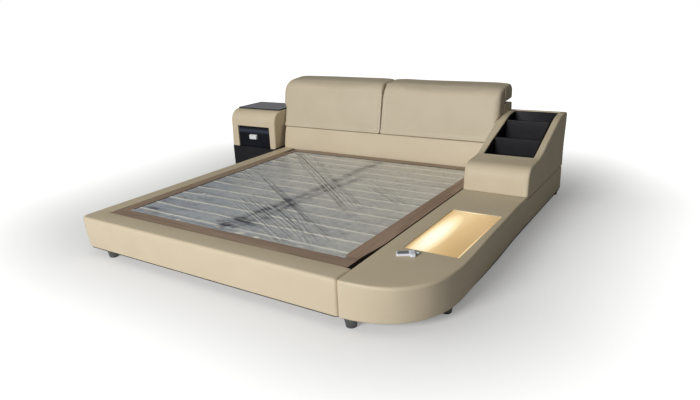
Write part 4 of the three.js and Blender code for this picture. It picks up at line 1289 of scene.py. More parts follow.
def round_the_ends(now, outer, inner, outer_fall):
    """The front falls back at both ends, most at the outer one, and the top falls down there."""
    _, y, z = now.T
    high_up = ramp(z, 0.70, 0.86)
    facing = ramp(1.10 - y, 0.0, 0.05)
    y += 0.62 * end_fall(now, outer, 0.050) * facing * (1 - 0.5 * high_up)
    y += 0.62 * end_fall(now, inner, 0.008) * facing
    y += 0.62 * end_fall(now, inner, 0.044) * facing * high_up * 0.5
    z -= end_fall(now, outer, outer_fall) * ramp(z, 0.78, 0.86)
    z -= end_fall(now, inner, 0.030) * 0.7 * ramp(z, 0.80, 0.86)


def tuck_into_seam(now, outer):
    """Just above the seam the front turns in by ten millimetres and can't bulge."""
    _, y, z = now.T
    by_seam = np.clip(1 - (z - seam_rest) / 0.012, 0, 1)
    seam_face = face_foot + lean * (z - platform) + 0.010 * (1 - np.sqrt(1 - by_seam**2))
    seam_face += 0.62 * end_fall(now, outer, 0.050)
    near_seam = (z < 0.490) & (y < seam_face + 0.035)
    y[:] = np.where(near_seam, np.minimum(y, seam_face), y)


def clear_bookcase(now):
    """Below the bookcase's sloping rim the right end stops short of its wall."""
    x, y, z = now.T
    rim_height = np.clip(0.62 + (y - 0.98) * 0.36, 0.56, 0.668)
    sunk = np.clip((rim_height + 0.012 - z) / 0.020, 0, 1)
    x[:] = np.where(x > beside_case, x * (1 - sunk) + np.minimum(x, beside_case) * sunk, x)


def tighten_split(now, inner):
    """The two cushions meet in a tight round edge, which softens towards the top."""
    x, y, z = now.T
    from_split = np.abs(x - inner)
    layer = np.round(z / 0.012).astype(int)
    flat = np.full(layer.max() + 1, np.nan)
    for k in np.unique(layer):
        beside = y[(layer == k) & (from_split > 0.035) & (from_split < 0.065)]
        if len(beside):
            flat[k] = beside.min()
    front = flat[layer] + 0.006 * np.clip(1 - from_split / 0.030, 0, 1) ** 2
    split_face = (from_split < 0.035) & (y < flat[layer] + 0.022)
    tight = 1 - ramp(z, 0.74, 0.85)
    y[:] = np.where(split_face, y + tight * (np.minimum(y, front) - y), y)
    closer = from_split * (0.30 + 0.70 * np.clip(from_split / 0.03, 0, 1))
    x[:] = inner + np.sign(x - inner) * (from_split + tight * (closer - from_split))
    x += 0.011 * (1 - ramp(y, 1.03, 1.11)) * (1 - ramp(from_split, 0.02, 0.32))


def back_cushion(side, seed):
    low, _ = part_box(f"cushion_lower_{side}")
    _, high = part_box(f"cushion_upper_{side}")
    inner, outer = (high.x, low.x) if side == "left" else (low.x, high.x)
    shrink = 0.003
    outline = drawn_in(evenly(cushion_outline(), 0.03), shrink)
    points, faces = soft_prism(outline, low.x + shrink, high.x - shrink, 0.014, 0.014, 0.03)
    obj = piece(f"back_cushion_{side}", as_side(points), faces, cushion_hide)
    changed(obj, "REMESH", mode="VOXEL", voxel_size=0.008)
    changed(obj, "SMOOTH", factor=0.5, iterations=6)

    def hold(points):
        """Share of the cap that a point may move: little at the seam, the ends and the flat back."""
        x, y, z = points.T
        seam = 0.05 + 0.95 * ramp(z, 0.430, 0.660)
        ends = 0.12 + 0.88 * ramp(np.minimum(x - low.x, high.x - x), -0.06, 0.30)
        slanted = fold_y + lean * np.clip(z - fold_shelf, -1, 0)
        return seam * ends * (0.02 + 0.98 * ramp(slanted - y, 0.0, 0.12))

    moved = inflate(obj, pressure, pressure_cap, lambda p: hold(p) * 0.6)
    changed(obj, "SMOOTH", factor=0.5, iterations=8)
    now = coords(obj.data)
    x, y, z = now.T
    y -= (0.003 + ripple(now, 2.6, 0.0035, seed)) * hold(now)
    level_with_block(now)
    round_the_ends(now, outer, inner, 0.058 if side == "left" else 0.032)
    z += top_crown(now, low.x, high.x, seed) * ramp(z, 0.76, 0.86)
    tuck_into_seam(now, outer)
    if side == "right":
        clear_bookcase(now)
    tighten_split(now, inner)
    if side == "left":
        x -= fuller_left(now, low.x)
    z += uneven_top(now)
    z[:] = np.maximum(z, seam_rest)
    set_coords(obj, now)
    changed(obj, "SUBSURF", levels=1, render_levels=1)
    now = coords(obj.data)
    _, y, z = now.T
    rest = fold_y - 0.0002 - lean * np.maximum(fold_shelf - z, 0)
    y[:] = np.where(z < fold_shelf, np.minimum(y, rest - 0.0004), y)
    set_coords(obj, now)
    cut_flat(obj, fold_y - 0.0004, 1)
    obj.data.shade_smooth()
    obj.data.set_sharp_from_angle(angle=math.radians(50))
    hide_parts(f"cushion_lower_{side}", f"cushion_upper_{side}")
    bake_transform(obj)
    print(obj.name, "faces", len(obj.data.polygons), "moved", round(moved * 1000, 1), "mm")


back_cushion("left", 7)
back_cushion("right", 8)


# %% Headrest blocks
past_fold = 0.016


def headrest_block(side, seed):
    """The stiff block behind a cushion; it starts a little in front of the fold and is cut flat there."""
    low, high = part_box(f"headrest_block_{side}")
    corners = [
        (low.y - past_fold, low.z), (low.y + 0.065, low.z), (high.y, low.z + 0.008), (high.y, high.z),
        (low.y - past_fold, high.z - 0.0164),
    ]
    outline = evenly(rounded(corners, [0, 0, 0.018, 0.040, 0]), 0.022)
    points, faces = soft_prism(outline, low.x, high.x, 0.014, 0.014, 0.03)
    points = as_side(points)
    x, y, z = points.T
    outer, inner = (low.x, high.x) if side == "left" else (high.x, low.x)
    z -= end_fall(points, outer, 0.056 if side == "left" else 0.028) * ramp(z, 0.79, 0.868)
    z -= end_fall(points, inner, 0.030) * 0.7 * ramp(z, 0.80, 0.868)
    z += top_crown(points, low.x, high.x, seed) * ramp(z, 0.80, 0.868)
    if side == "left":
        x -= fuller_left(points, low.x)
    z += uneven_top(points)
    rear = np.clip((y - (high.y - 0.02)) / 0.01, 0, 1)
    y += ripple(points, 3.0, 0.0016, seed) * rear
    name = f"headrest_block_wrap_{side}"
    obj = piece(name, points, faces, cushion_hide, None, [f"headrest_block_{side}"], "cream_leather")
    cut_flat(obj, low.y + 0.0002, -1)
    weigh_normals(obj)
    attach(obj, f"headrest_{side}")
    print(name, "faces", len(obj.data.polygons))


headrest_block("left", 7)
headrest_block("right", 8)

# %% [markdown]
# Four flat boards frame the slats. They weren't laid quite square: a dark wedge opens
# between the right board and the chaise towards the foot, and a short one at the left.
# The right board is rebated, so the slat caps run on underneath its inner edge.

# %% Frame boards
slat_boxes = [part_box(n) for n in slat_names]
board_low, board_high = (corner.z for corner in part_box("frame_board_right"))
# Near-black colour for the boards' upright faces: painted shade in the gaps beside them.
board_side_shade = worn("board_side_painted_shade", (0.030, 0.021, 0.016), (0.046, 0.033, 0.025), 0.7, 0.0, 600.0, 0.3)


def shade_board_sides(obj):
    """Painted shade: a near-black colour on every upright face of a board, so the gaps beside the boards read dark."""
    obj.data.materials.append(board_side_shade)
    for face in obj.data.polygons:
        if abs(face.normal.z) < 0.5:
            face.material_index = 1


def board(name, corners, material, node):
    outline = evenly(rounded(corners, 0.0025, 3), 0.12)
    points, faces = soft_prism(outline, board_low, board_high, 0.0008, 0.0016, 0.12)
    shade_board_sides(piece(name, points, faces, material, "bed", [node], "board_wood"))


board("foot_board", [
    (-0.8430, -1.1435), (1.0610, -1.1435), (1.0625, -1.0215), (-0.8430, -1.0215),
], board_x, "frame_board_foot")
board("left_board", [
    (-0.8432, -1.0210), (-0.7662, -1.0210), (-0.7662, 0.8024), (-0.8040, 0.8024), (-0.8040, 0.7560), (-0.8470, 0.6980),
    (-0.8470, -0.92),
], board_y, "frame_board_left")
board("head_board", [
    (-0.8040, 0.8030), (1.0788, 0.8030), (1.0788, 0.8860), (-0.6400, 0.8860), (-0.6480, 0.8740), (-0.8040, 0.8680),
], board_x, "frame_board_head")
rebate = [
    (1.0046, board_low), (1.0790, board_low), (1.0790, board_high), (0.9900, board_high), (0.9900, 0.2479),
    (1.0046, 0.2479),
]
points, faces = soft_prism(evenly(rounded(rebate, 0.0012, 2), 0.02), -0.8024, 1.0210, 0.0008, 0.0008, 0.06)
points = as_front(points)
slip = np.clip((0.60 + points[:, 1] * -1.0) / 1.60, 0, 1)
outer = 0.0045 - 0.0225 * ramp(-points[:, 1], 0.78, 1.03)
points[:, 0] += np.where(points[:, 0] > 1.04, outer, np.where(points[:, 0] < 1.0, -0.0190 * slip, 0.0))
shade_board_sides(piece("right_board", points, faces, board_right_lit, "bed", ["frame_board_right"], "board_wood"))
# Painted shade: a thin black sheet in the slot at the left board's back corner, so the slot reads dark.
corner_gap_outline = [
    (-0.8484, 0.7000), (-0.8460, 0.7020), (-0.8050, 0.7570), (-0.8050, 0.8690), (-0.6490, 0.8750), (-0.6410, 0.8945),
    (-0.8484, 0.8945),
]
points, faces = soft_prism(evenly(rounded(corner_gap_outline, 0.001, 2), 0.04), 0.234, 0.2450, 0.0005, 0.0005, 0.04)
piece("corner_felt", points, faces, edge_trim, "bed", slot="black_leather")
print("boards ready")


# %% [markdown]
# The film is one sheet of thin plastic over the slats, taut across each front edge and
# slack between. Old fold lines cross it in bundles, mostly from the head's left corner
# towards the foot's right. Height, a painted highlight along each slat's front edge, the
# folds' painted light and dark sides, and a darkening that holds painted shade behind each
# slat edge as well as dark smears and spots are kept for every point, so that the
# finish can follow the shape.

# %% Wrapping film
film_low, film_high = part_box("slat_film")
slat_fronts = np.array([low.y for low, _ in slat_boxes])
slat_backs = np.array([high.y for _, high in slat_boxes])
fold_lines = [
    ((-0.62, 0.70), (0.60, -0.35), 0.085, 8, 0.95),
    ((-0.74, 0.77), (-0.30, 0.36), 0.040, 4, 0.8),
    ((-0.37, -0.09), (0.80, -0.87), 0.034, 4, 1.0),
    ((-0.22, -0.50), (0.62, -0.98), 0.105, 9, 0.8),
    ((0.08, -0.54), (0.70, -0.94), 0.050, 5, 0.8),
    ((-0.79, 0.10), (-0.42, -0.10), 0.080, 6, 0.8),
    ((0.44, 0.15), (0.88, -0.16), 0.045, 5, 0.8),
    ((0.00, 0.72), (0.62, 0.30), 0.040, 3, 0.35),
    ((0.06, 0.02), (0.70, -0.50), 0.030, 3, 0.4),
    ((-0.10, -0.86), (0.30, -0.92), 0.040, 4, 0.7),
    ((0.30, -0.60), (0.76, -1.02), 0.050, 4, 0.4),
]
smears = [
    ([
        (0.045, -1.00), (0.060, -0.80), (0.090, -0.58), (0.117, -0.29), (0.141, 0.02), (0.137, 0.35), (0.150, 0.58),
        (0.195, 0.76),
    ], 0.042, 0.60),
    ([(0.120, -1.00), (0.160, -0.75), (0.189, -0.49), (0.213, -0.09), (0.251, 0.10), (0.270, 0.30)], 0.032, 0.46),
    ([(-0.44, -0.03), (0.02, -0.35), (0.50, -0.69)], 0.011, 0.60),
    ([(-0.72, 0.76), (-0.58, 0.66), (0.20, 0.00), (0.58, -0.41)], 0.014, 0.42),
]
studs_seen = (-0.862, -0.747, -0.618, -0.471, -0.334, -0.189, -0.03, 0.096, 0.242, 0.388, 0.651)
spots = [
    (0.05, -0.962, 0.055, 0.028, 1.0), (0.070, -0.845, 0.075, 0.034, 1.2), (0.215, -0.872, 0.062, 0.030, 1.1),
    (-0.023, -0.912, 0.050, 0.018, 0.7), (-0.444, -0.859, 0.11, 0.020, 0.6), (-0.74, -0.74, 0.09, 0.022, 0.55),
    (-0.455, -0.628, 0.10, 0.020, 0.5), (-0.42, -0.965, 0.12, 0.018, 0.6), (-0.50, -0.745, 0.08, 0.018, 0.45),
    (-0.66, -0.93, 0.07, 0.018, 0.6), (-0.62, -0.50, 0.09, 0.020, 0.4),
    (0.08, -0.615, 0.040, 0.025, 0.7), (0.208, -0.746, 0.040, 0.025, 0.7), (0.09, -0.425, 0.040, 0.025, 0.5),
    (0.176, -0.479, 0.035, 0.020, 0.5), (0.132, 0.75, 0.060, 0.020, 0.6), (-0.251, 0.515, 0.020, 0.012, 1.1),
    (-0.432, 0.296, 0.030, 0.015, 0.6), (0.794, -0.751, 0.022, 0.018, 0.7), (0.749, -0.604, 0.020, 0.014, 0.5),
    (0.53, -1.00, 0.060, 0.020, 0.7), (0.70, 0.14, 0.030, 0.016, 0.5), (-0.60, -1.00, 0.10, 0.020, 0.6),
    *((0.655, y, 0.036, 0.017, 0.34) for y in studs_seen),
]
glints = [
    (0.021, -1.010, 0.016), (0.231, -1.020, 0.030), (0.373, -1.035, 0.018), (0.698, -1.020, 0.018),
    (-0.587, -0.535, 0.010), (-0.30, -1.030, 0.014),
]


def smooth_noise(xs, ys, scale, seed, stretch=(1.0, 1.0)):
    return np.array([
        [noise.noise(Vector((a * scale * stretch[0], b * scale * stretch[1], seed))) for a in xs] for b in ys
    ])


def hump(value, width):
    return np.exp(-((value / width) ** 2))


def from_path(x, y, path):
    """Distance of every point from a run of straight parts, and its share of the way along."""
    best, along, gone = np.full_like(x, 9.0), np.zeros_like(x), 0.0
    total = sum(math.dist(a, b) for a, b in zip(path, path[1:]))
    for a, b in zip(path, path[1:]):
        length = math.dist(a, b)
        ux, uy = (b[0] - a[0]) / length, (b[1] - a[1]) / length
        t = np.clip((x - a[0]) * ux + (y - a[1]) * uy, 0, length)
        far = np.hypot(x - a[0] - ux * t, y - a[1] - uy * t)
        along = np.where(far < best, (gone + t) / total, along)
        best = np.minimum(best, far)
        gone += length
    return best, along


def press_old_folds(x, y, wobble, height, fold):
    """Bundles of nearly parallel creases, pressed in slightly; each has a painted highlight on one side and painted
    shade on the other, and fades at its ends.
    """
    for number, ((ax, ay), (bx, by), width, count, depth) in enumerate(fold_lines):
        length = math.hypot(bx - ax, by - ay)
        ux, uy = (bx - ax) / length, (by - ay) / length
        along = (x - ax) * ux + (y - ay) * uy
        across = -(x - ax) * uy + (y - ay) * ux + wobble * 0.005
        for k in range(count):
            shift = 0.09 * math.sin(k * 2.9 + number)
            ends = ramp(along, shift, shift + 0.07) * ramp(length - along, -shift * 0.5, 0.12)
            fan = 1 + 0.22 * math.sin(k * 1.7 + number) * (along / length - 0.5)
            own = (width * ((k + 0.5) / count - 0.5) * 2 + 0.6 * width / count * math.sin(k * 5.3 + number)) * fan
            near = np.clip(0.78 + 0.42 * np.sin(along * (3 + k % 3) + k * 1.9 + number), 0.15, 1)
            shine = 0.35 + 0.65 * abs(math.sin(k * 3.7 + number * 1.3))
            light = hump(across - own, 0.0046)
            dark = hump(across - own - 0.0085, 0.0060)
            height += ends * near * depth * 0.0003 * light
            fold += ends * near * depth * (shine * light - 1.05 * dark)


def film_shape():
    """Places of the film's points, and for each its painted highlight at the slat edges, its fold marks with painted
    light and dark sides, and its darkening.
    """
    front_y = -1.047
    xs = np.linspace(film_low.x + 0.0005, film_high.x - 0.0005, 300)
    ys = np.linspace(front_y, film_high.y - 0.0005, 304)
    x, y = np.meshgrid(xs, ys)
    wobble = smooth_noise(xs, ys, 2.2, 3.1, (1, 2.2))
    patch = smooth_noise(xs, ys, 4.5, 8.4, (1, 1.6))
    mottle = smooth_noise(xs, ys, 9.0, 2.7, (0.7, 1.6))
    grit = smooth_noise(xs, ys, 34.0, 5.2, (0.8, 1.6))
    height = np.full_like(x, 0.2464)
    press, shade = np.zeros_like(x), np.zeros_like(x)
    calm = hump(x + 0.50, 0.20) * hump(y - 0.10, 0.26)
    crossing = np.zeros_like(x)
    for path, width, depth in smears:
        far, share = from_path(x, y, path)
        body = hump(far + mottle * 0.020, width) * (0.85 + 1.5 * mottle)
        shade += depth * np.clip(body, 0, 1)
        crossing = np.maximum(crossing, hump(far, width * 1.3))
    for k, (front, back) in enumerate(zip(slat_fronts, slat_backs)):
        bend = 0.020 * ramp(-x, 0.45, 0.77) * math.sin(1.3 * k + 0.6)
        line = front + 0.006 + wobble * 0.008 + bend
        # Painted highlight along each slat's front edge, and painted shade just behind it, heavier at the left.
        crest = hump(y - line, 0.0084)
        keep = np.clip(1.04 + patch * 0.5, 0.45, 1.1) * (1 - 0.75 * crossing) * (1 - 0.85 * calm)
        height += 0.0011 * crest
        press = np.maximum(press, crest * keep)
        behind = hump(y - line - 0.026, 0.022)
        shade += 0.10 * behind + 0.40 * behind * hump(x + 0.66 + 0.05 * math.sin(k * 2.1), 0.07) * (1 - calm)
    for sx, sy, rx, ry, depth in spots:
        shade += depth * np.exp(-(((x - sx) / rx) ** 2) - ((y - sy) / ry) ** 2) * (0.75 + 0.8 * mottle)
    # fold holds a little grit and mottle, then the creases' painted highlight and shade, the hem's painted highlight
    # and painted glints.
    fold = grit * 0.30 + mottle * 0.10
    press_old_folds(x, y, wobble, height, fold)
    # Painted highlight along the film's front hem and its left edge, and painted glints.
    hem_highlight = hump(y - front_y - 0.034 - wobble * 0.010, 0.0055)
    hem_highlight += 0.7 * hump(x + 0.772 - 0.006 * wobble, 0.0050) * ramp(-y, 0.60, 0.80)
    fold += 0.95 * hem_highlight * np.clip(0.55 + 1.6 * mottle + 0.6 * grit, 0, 1.2)
    for gx, gy, size in glints:
        fold += 3.0 * np.exp(-(((x - gx) / size) ** 2) - ((y - gy) / (size * 0.5)) ** 2)
    height += np.abs(grit) * 0.0003 + np.clip(wobble, -1, 1) * 0.0006
    lap = ramp(-y, 1.012, 1.020)
    height = np.clip(height, 0.2463, 0.2525)
    height = height * (1 - lap) + np.maximum(height, 0.2514) * lap
    slip = 0.0170 * np.clip((0.60 - y) / 1.60, 0, 1)
    x = x - slip * (x - film_low.x) / (film_high.x - film_low.x)
    return x, y, height, press, fold, np.clip(shade, 0, 1)


x, y, z, press, fold, shade = film_shape()
rows, columns = x.shape
film_faces = [
    (r * columns + c, r * columns + c + 1, (r + 1) * columns + c + 1, (r + 1) * columns + c)
    for r in range(rows - 1) for c in range(columns - 1)
]
film_points = np.stack([x.ravel(), y.ravel(), z.ravel()], 1)
print("film grid", rows, columns)


# %% Film finish
def film_finish():
    """Cool at the foot's left and warmer to the head's right; the kept values paint its highlights and its shade."""
    material, tree, shader, grain = grained("clear_film", 90.0, 5.0)
    plus, _, times, _ = arithmetic(tree)
    place = apart(tree, object_place(tree))
    press, fold, shade = (
        add(tree, "ShaderNodeAttribute", attribute_name=label).outputs["Fac"] for label in ("press", "fold", "shade")
    )

    def clamped(value):
        return add(tree, "ShaderNodeClamp", {"Value": value}).outputs[0]

    slant = plus(times(place["X"], 0.40), times(place["Y"], 0.34))
    warm = clamped(plus(slant, value_between(tree, grain["Mottle"], 0.36, 0.64)))
    base = mix_colour(tree, warm, (0.500, 0.548, 0.635), (0.715, 0.698, 0.630))
    # Painted highlights from the slat edges, folds, hem and glints; painted shade from the folds and the kept
    # darkening.
    light = clamped(plus(times(press, 1.05), times(fold, 0.85)))
    dark = clamped(plus(times(fold, -0.62), times(shade, 1.10)))
    dimmed = mix_colour(tree, dark, base, (0.075, 0.085, 0.125))
    haze = plus(times(light, 0.08), value_between(tree, grain["Mottle"], 0.86, 0.94))
    fill(tree, shader, {
        "Base Color": mix_colour(tree, light, dimmed, (1.0, 0.98, 0.90)),
        "Roughness": value_between(tree, grain["Mottle"], 0.22, 0.36),
        "Specular IOR Level": 0.5,
        "Alpha": add(tree, "ShaderNodeMath", {0: haze, 1: 0.98}, operation="MINIMUM").outputs[0],
        "Normal": bumped(tree, grain["Crease"], 0.25, 0.0015),
    })
    return material


film = piece("wrapping_film", film_points, film_faces, film_finish())
for label, values in (("press", press), ("fold", fold), ("shade", shade)):
    kept = film.data.attributes.new(label, "FLOAT", "POINT")
    kept.data.foreach_set("value", values.ravel().astype(np.float32))
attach(film, "bed")
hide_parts("slat_film")
print("film faces", len(film.data.polygons))

# %% [markdown]
# Rubber caps hold the slat ends. There is one for each end of each slat, all alike, so a
# node tree places a single cap on every point of a line and turns the result to a mesh.


# %% Node trees for what repeats
def tree_of(name, inputs):
    outline = ("Geometry", "Geometry")
    return group(name, [outline, ("Piece", "Object"), ("Material", "Material"), *inputs], [outline], "GeometryNodeTree")


def copies(tree, start, where):
    """Puts the piece on points, turns the copies into one mesh and paints it."""
    form = add(tree, "GeometryNodeObjectInfo", {"Object": start["Piece"]}).outputs["Geometry"]
    placed = add(tree, "GeometryNodeInstanceOnPoints", {"Instance": form, **where}).outputs["Instances"]
    real = add(tree, "GeometryNodeRealizeInstances", {"Geometry": placed}).outputs["Geometry"]
    paint = {"Geometry": real, "Material": start["Material"]}
    return add(tree, "GeometryNodeSetMaterial", paint).outputs["Geometry"]


def repeat_on_points():
    """Puts one piece on every point of the mesh."""
    tree, start, end = tree_of("repeat_on_points", [])
    fill(tree, end, {"Geometry": copies(tree, start, {"Points": start["Geometry"]})})
    return tree


def stitch_row():
    """Lays stitches end to end along a curve, each turned to the curve."""
    tree, start, end = tree_of("stitch_row", [("Pitch", "Float", 0.008)])
    line = {"Curve": start["Geometry"], "Length": start["Pitch"]}
    spread = add(tree, "GeometryNodeCurveToPoints", mode="LENGTH")
    spots = fill(tree, spread, line).outputs
    fill(tree, end, {"Geometry": copies(tree, start, {"Points": spots["Points"], "Rotation": spots["Rotation"]})})
    return tree


def run_tree(name, data, tree, form, values):
    """Runs a node tree on points or a curve, and returns the result as a plain piece."""
    carrier = placed_in_scene(name + "_places", data)
    modifier = carrier.modifiers.new("nodes", "NODES")
    modifier.node_group = tree
    named = {item.name: item.identifier for item in tree.interface.items_tree if item.in_out == "INPUT"}
    for label, value in {"Piece": form, **values}.items():
        modifier[named[label]] = value
    depsgraph = bpy.context.evaluated_depsgraph_get()
    mesh = bpy.data.meshes.new_from_object(carrier.evaluated_get(depsgraph))
    mesh.name = name
    mesh.shade_smooth()
    obj = placed_in_scene(name, mesh)
    bpy.data.objects.remove(carrier)
    bpy.data.objects.remove(form)
    return obj


points_tree, stitch_tree = repeat_on_points(), stitch_row()
print("node trees ready")


# %% Slat caps, saddles and studs
def cap_form(length, width, height):
    corners = rectangle((-length / 2, -width / 2), (length / 2, width / 2))
    outline = evenly(rounded(corners, min(length, width) * 0.30, 4), 0.03)
    return piece("cap_form", *soft_prism(outline, 0.0, height, 0.0006, min(0.003, height * 0.6), 0.05), rubber)


def on_each_slat(name, x, size, bottom, replaced=()):
    """One rubber part on every slat at a place across the bed."""
    rows = [(x, (a.y + b.y) / 2, bottom) for a, b in slat_boxes]
    mesh = bpy.data.meshes.new(name + "_places")
    mesh.from_pydata(rows, [], [])
    obj = run_tree(name, mesh, points_tree, cap_form(*size), {"Material": rubber})
    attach(obj, "bed")
    if replaced:
        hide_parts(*replaced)
    print(name, "faces", len(obj.data.polygons))


cap_bottom, on_slats = 0.2331, slat_boxes[0][1].z - 0.0002
on_each_slat("slat_caps_left", -0.7462, (0.0385, 0.072, 0.0128), cap_bottom, ["slat_cap_strip_left"])
on_each_slat("slat_caps_right", 0.9884, (0.0306, 0.072, 0.0128), cap_bottom, ["slat_cap_strip_right"])
on_each_slat("slat_saddles", 0.123, (0.130, 0.070, 0.0010), on_slats)
on_each_slat("slat_studs_right", 0.655, (0.060, 0.034, 0.0010), on_slats)
on_each_slat("slat_studs_left", -0.409, (0.060, 0.034, 0.0010), on_slats)


# %% [markdown]
# Feet are turned steel cups with a rim and a glide. They are small but show at the
# front corner, so each is a finely divided turning of one profile.


# %% Feet and dark edging
foot_profile = [
    (0.0230, 0.0), (0.0268, 0.0003), (0.0280, 0.0020), (0.0284, 0.0060), (0.0278, 0.0066), (0.0292, 0.0076),
    (0.0306, 0.0180), (0.0334, 0.0330), (0.0352, 0.0415), (0.0366, 0.0435), (0.0370, 0.0450), (0.0370, 0.0500),
    (0.0365, 0.0512), (0.0350, 0.0516),
]
turned_segments = 48


def turned_foot(name, x, y):
    """The foot's profile turned round its upright middle line."""
    count = turned_segments
    turns = [2 * math.pi * k / count for k in range(count)]
    points = [(x + r * math.cos(a), y + r * math.sin(a), height) for r, height in foot_profile for a in turns]
    rings = range(0, len(points), count)
    faces = [face for ring in rings[:-1] for face in between_rings(ring, ring + count, count)]
    faces += [tuple(range(count))[::-1], tuple(rings[-1] + k for k in range(count))]
    piece(f"{name}_turned", points, faces, foot_metal, "bed", [name], "foot_metal")


foot_names = [n for n in nodes if n.startswith("foot_") and n != "foot_panel"]
for name in foot_names:
    low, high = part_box(name)
    turned_foot(name, (low.x + high.x) / 2, (low.y + high.y) / 2)


def edging(name, line, top, shown, depth=0.004, inset=0.007):
    """A thin black strip under the bottom edge of a leather panel; shown is its height at each point."""
    outer = drawn_in(line, inset)
    inner = drawn_in(line, inset + depth)
    count = len(line)
    loops = ((outer, 1), (outer, 0), (inner, 0), (inner, 1))
    points = [(*p, top - h * down) for loop, down in loops for p, h in zip(loop, shown)]
    faces = []
    for r in range(4):
        faces += between_rings(r * count, (r + 1) % 4 * count, count)
    piece(name, points, faces, edge_trim, "bed", slot="black_leather")


edging("chaise_edging", chaise_line, chaise_low.z - 0.0002, 0.0025 + 0.0115 * ramp(chaise_line[:, 1], -0.95, -0.45))
leaning = surround_line.copy()
leaning[:, 0] += leaning_in(*leaning.T, 1)
edging("surround_edging", leaning, foot_low.z - 0.0002, np.full(len(leaning), 0.006))
print("feet", len(foot_names))

# %% [markdown]
# The bookcase dividers are padded boards in black leather with a round upper edge; the
# drawer front is the same leather over a board whose upper part leans back.


# %% Dividers, drawer front and handle
def divider(place):
    low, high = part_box(f"cabinet_divider_{place}")
    tip_front = high.z - (high.y - low.y) * (0.9 if place == "front" else 0.35)
    corners = [(low.y, low.z), (high.y, low.z), (high.y, high.z), (low.y, tip_front)]
    outline = evenly(rounded(corners, [0.002, 0.002, 0.0045, 0.0045]), 0.02)
    points, faces = soft_prism(outline, low.x, high.x, 0.001, 0.001, 0.03)
    node = f"cabinet_divider_{place}"
    piece(f"bookcase_divider_{place}", as_side(points), faces, black_hide, "bed", [node], "black_leather")


divider("front")
divider("back")
front_low, front_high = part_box("drawer_front")
lean_from = front_low.z + 0.70 * (front_high.z - front_low.z)
front_side = [
    (front_low.y, front_low.z), (front_high.y, front_low.z), (front_high.y, front_high.z),
    (front_low.y + 0.013, front_high.z), (front_low.y, lean_from),
]
outline = evenly(rounded(front_side, [0.005, 0.004, 0.004, 0.0044, 0.03]), 0.012)
points, faces = soft_prism(outline, front_low.x, front_high.x, 0.003, 0.003, 0.02)
points = as_side(points)
drawer_face = piece("drawer_face_wrap", points, faces, drawer_hide, "drawer", ["drawer_front"], "black_leather")


def sheen_band(material, height, width, colour):
    """A painted reflection: the leaning upper part of the drawer front shows the pale room as a soft bluish band in its
    base colour.
    """
    tree = material.node_tree
    shader = next(n for n in tree.nodes if n.type == "BSDF_PRINCIPLED")
    plain = shader.inputs["Base Color"].links[0].from_socket
    band = bell(tree, apart(tree, object_place(tree))["Z"], height, width)
    fill(tree, shader, {"Base Color": mix_colour(tree, band, plain, colour)})


def rounded_copy(node, name, width, segments, material, body, size=1.0):
    """A merged copy of a carried-over solid with properly rounded edges."""
    mesh = nodes[node].data.copy()
    mesh.name = name
    work = bmesh.new()
    work.from_mesh(mesh)
    bmesh.ops.remove_doubles(work, verts=work.verts, dist=1e-5)
    bmesh.ops.dissolve_limit(work, angle_limit=math.radians(1), verts=work.verts, edges=work.edges)
    sharp = [e for e in work.edges if e.is_manifold and e.calc_face_angle(0) > math.radians(30)]
    bmesh.ops.bevel(work, geom=sharp, offset=width, segments=segments, profile=0.5, affect="EDGES", clamp_overlap=True)
    middle = sum((v.co for v in work.verts), Vector()) / len(work.verts)
    for v in work.verts:
        v.co.x = middle.x + (v.co.x - middle.x) * size
        v.co.z = middle.z + (v.co.z - middle.z) * size
    work.to_mesh(mesh)
    work.free()
    mesh.materials.clear()
    mesh.materials.append(material)
    mesh.shade_smooth()
    obj = placed_in_scene(name, mesh)
    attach(obj, body)
    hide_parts(node)
    return obj


# Painted reflection of the pale room on the drawer front's leaning part.
sheen_band(drawer_hide, 0.404, 0.015, (0.040, 0.046, 0.072))
handle = rounded_copy("drawer_handle", "cup_pull", 0.0014, 3, chrome, "drawer", 0.83)
print("drawer face", len(drawer_face.data.polygons), "handle", len(handle.data.polygons))

# %% [markdown]
# The hand control is a light shell with a wider head and a small knob. Its keypad is one
# plain, slightly raised grey pad with nothing printed on it.

# %% Hand control
control_turn = math.radians(32)
control_place = Vector((1.0951 + 0.154, -0.793 - 0.086, 0.2563))


def control_spot(points):
    c, s = math.cos(control_turn), math.sin(control_turn)
    out = np.array(points, float)
    x, y = out[:, 0].copy(), out[:, 1].copy()
    out[:, 0] = control_place.x + c * x - s * y
    out[:, 1] = control_place.y + s * x + c * y
    out[:, 2] += control_place.z
    return out


def small_block(x0, x1, y0, y1, z0, z1, corner, edge, step=0.006):
    outline = evenly(rounded(rectangle((x0, y0), (x1, y1)), corner, 5), step)
    return soft_prism(outline, z0, z1, edge, edge, step)


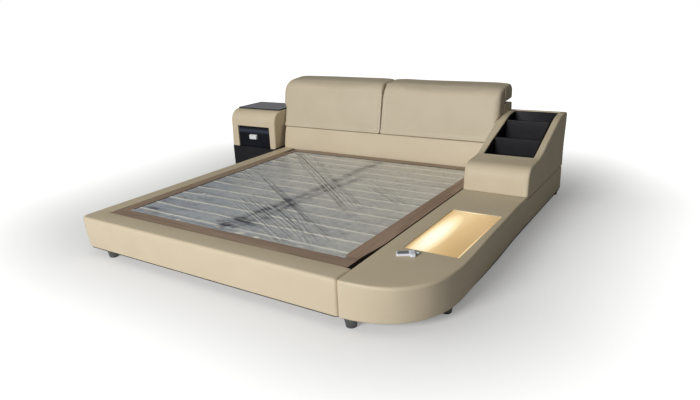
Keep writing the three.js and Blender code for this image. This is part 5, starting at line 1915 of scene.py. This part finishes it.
grip = small_block(-0.041, 0.046, -0.023, 0.023, 0, 0.0118, 0.008, 0.003)
head = small_block(0.0300, 0.0590, -0.043, 0.029, 0, 0.0160, 0.008, 0.0045)
knob = small_block(0.0610, 0.0800, -0.0100, 0.0080, 0.0005, 0.0110, 0.006, 0.003, 0.003)
points, faces = [], []
for part_points, part_faces in (grip, head, knob):
    faces += [tuple(i + len(points) for i in face) for face in part_faces]
    points += list(part_points)
control_shell = piece(
    "control_shell", control_spot(points), faces, shell_plastic, "hand_control", ["control_body"], "light_plastic",
)
points, faces = small_block(-0.0350, 0.0240, -0.0165, 0.0175, 0.0118, 0.0131, 0.005, 0.0006, 0.004)
keypad = piece(
    "control_keys", control_spot(points), faces, key_plastic, "hand_control", ["control_keypad"], "grey_plastic",
)
print("control faces", len(control_shell.data.polygons), len(keypad.data.polygons))

# %% [markdown]
# Seams: a row of small thread stitches is set along each side seam of the bookcase and of the
# bedside cabinet. One stitch is a short rounded bar; the node tree lays it along a curve at an even pitch.


# %% Stitch rows
def stitch_form():
    half = 0.0005
    outline = evenly(rounded(rectangle((-half, -half), (half, half)), 0.0004, 1), 0.01)
    length = 0.0052
    rings = [(-length / 2, 0.35), (-length / 2 + 0.0012, 1.0), (length / 2 - 0.0012, 1.0), (length / 2, 0.35)]
    points = [(x * s, y * s, w) for w, s in rings for x, y in outline]
    count = len(outline)
    faces = [face for r in range(3) for face in between_rings(r * count, (r + 1) * count, count)]
    faces += [tuple(range(count))[::-1], tuple(3 * count + i for i in range(count))]
    return piece("stitch_form", points, faces, seam_thread)


stitch_pitch, seam_inset = 0.0078, 0.020


def stitches(name, line):
    curve = bpy.data.curves.new(name + "_line", "CURVE")
    curve.dimensions = "3D"
    spline = curve.splines.new("POLY")
    spline.points.add(len(line) - 1)
    for point, place in zip(spline.points, line):
        point.co = (*place, 1)
    obj = run_tree(name, curve, stitch_tree, stitch_form(), {"Pitch": stitch_pitch, "Material": seam_thread})
    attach(obj, "bed")
    return obj


def on_rim(x):
    """A line just proud of the bookcase's side outline, from the front foot to the back."""
    line = slope_line()[1:]
    return [(x, float(y), float(z) + 0.0001) for y, z in line]


def up_the_front(x):
    """Up the bedside cabinet's front and over its roll."""
    line = [(x, shell_low.y, z) for z in np.linspace(0.26, shell_high.z - roll_radius, 8)]
    for turn in np.linspace(0, math.pi / 2, 14)[1:]:
        back, down = roll_radius * (1 - math.cos(turn)), roll_radius * (1 - math.sin(turn))
        line.append((x, shell_low.y + back, shell_high.z - down))
    return line


rows = []
for place, line_at, low, high in (
    ("bookcase", on_rim, cabinet_low, cabinet_high), ("bedside", up_the_front, shell_low, shell_high),
):
    for side, x in (("left", low.x + seam_inset), ("right", high.x - seam_inset)):
        rows.append(stitches(f"{place}_stitches_{side}", line_at(x)))
print("stitch rows", [(r.name, len(r.data.polygons)) for r in rows])
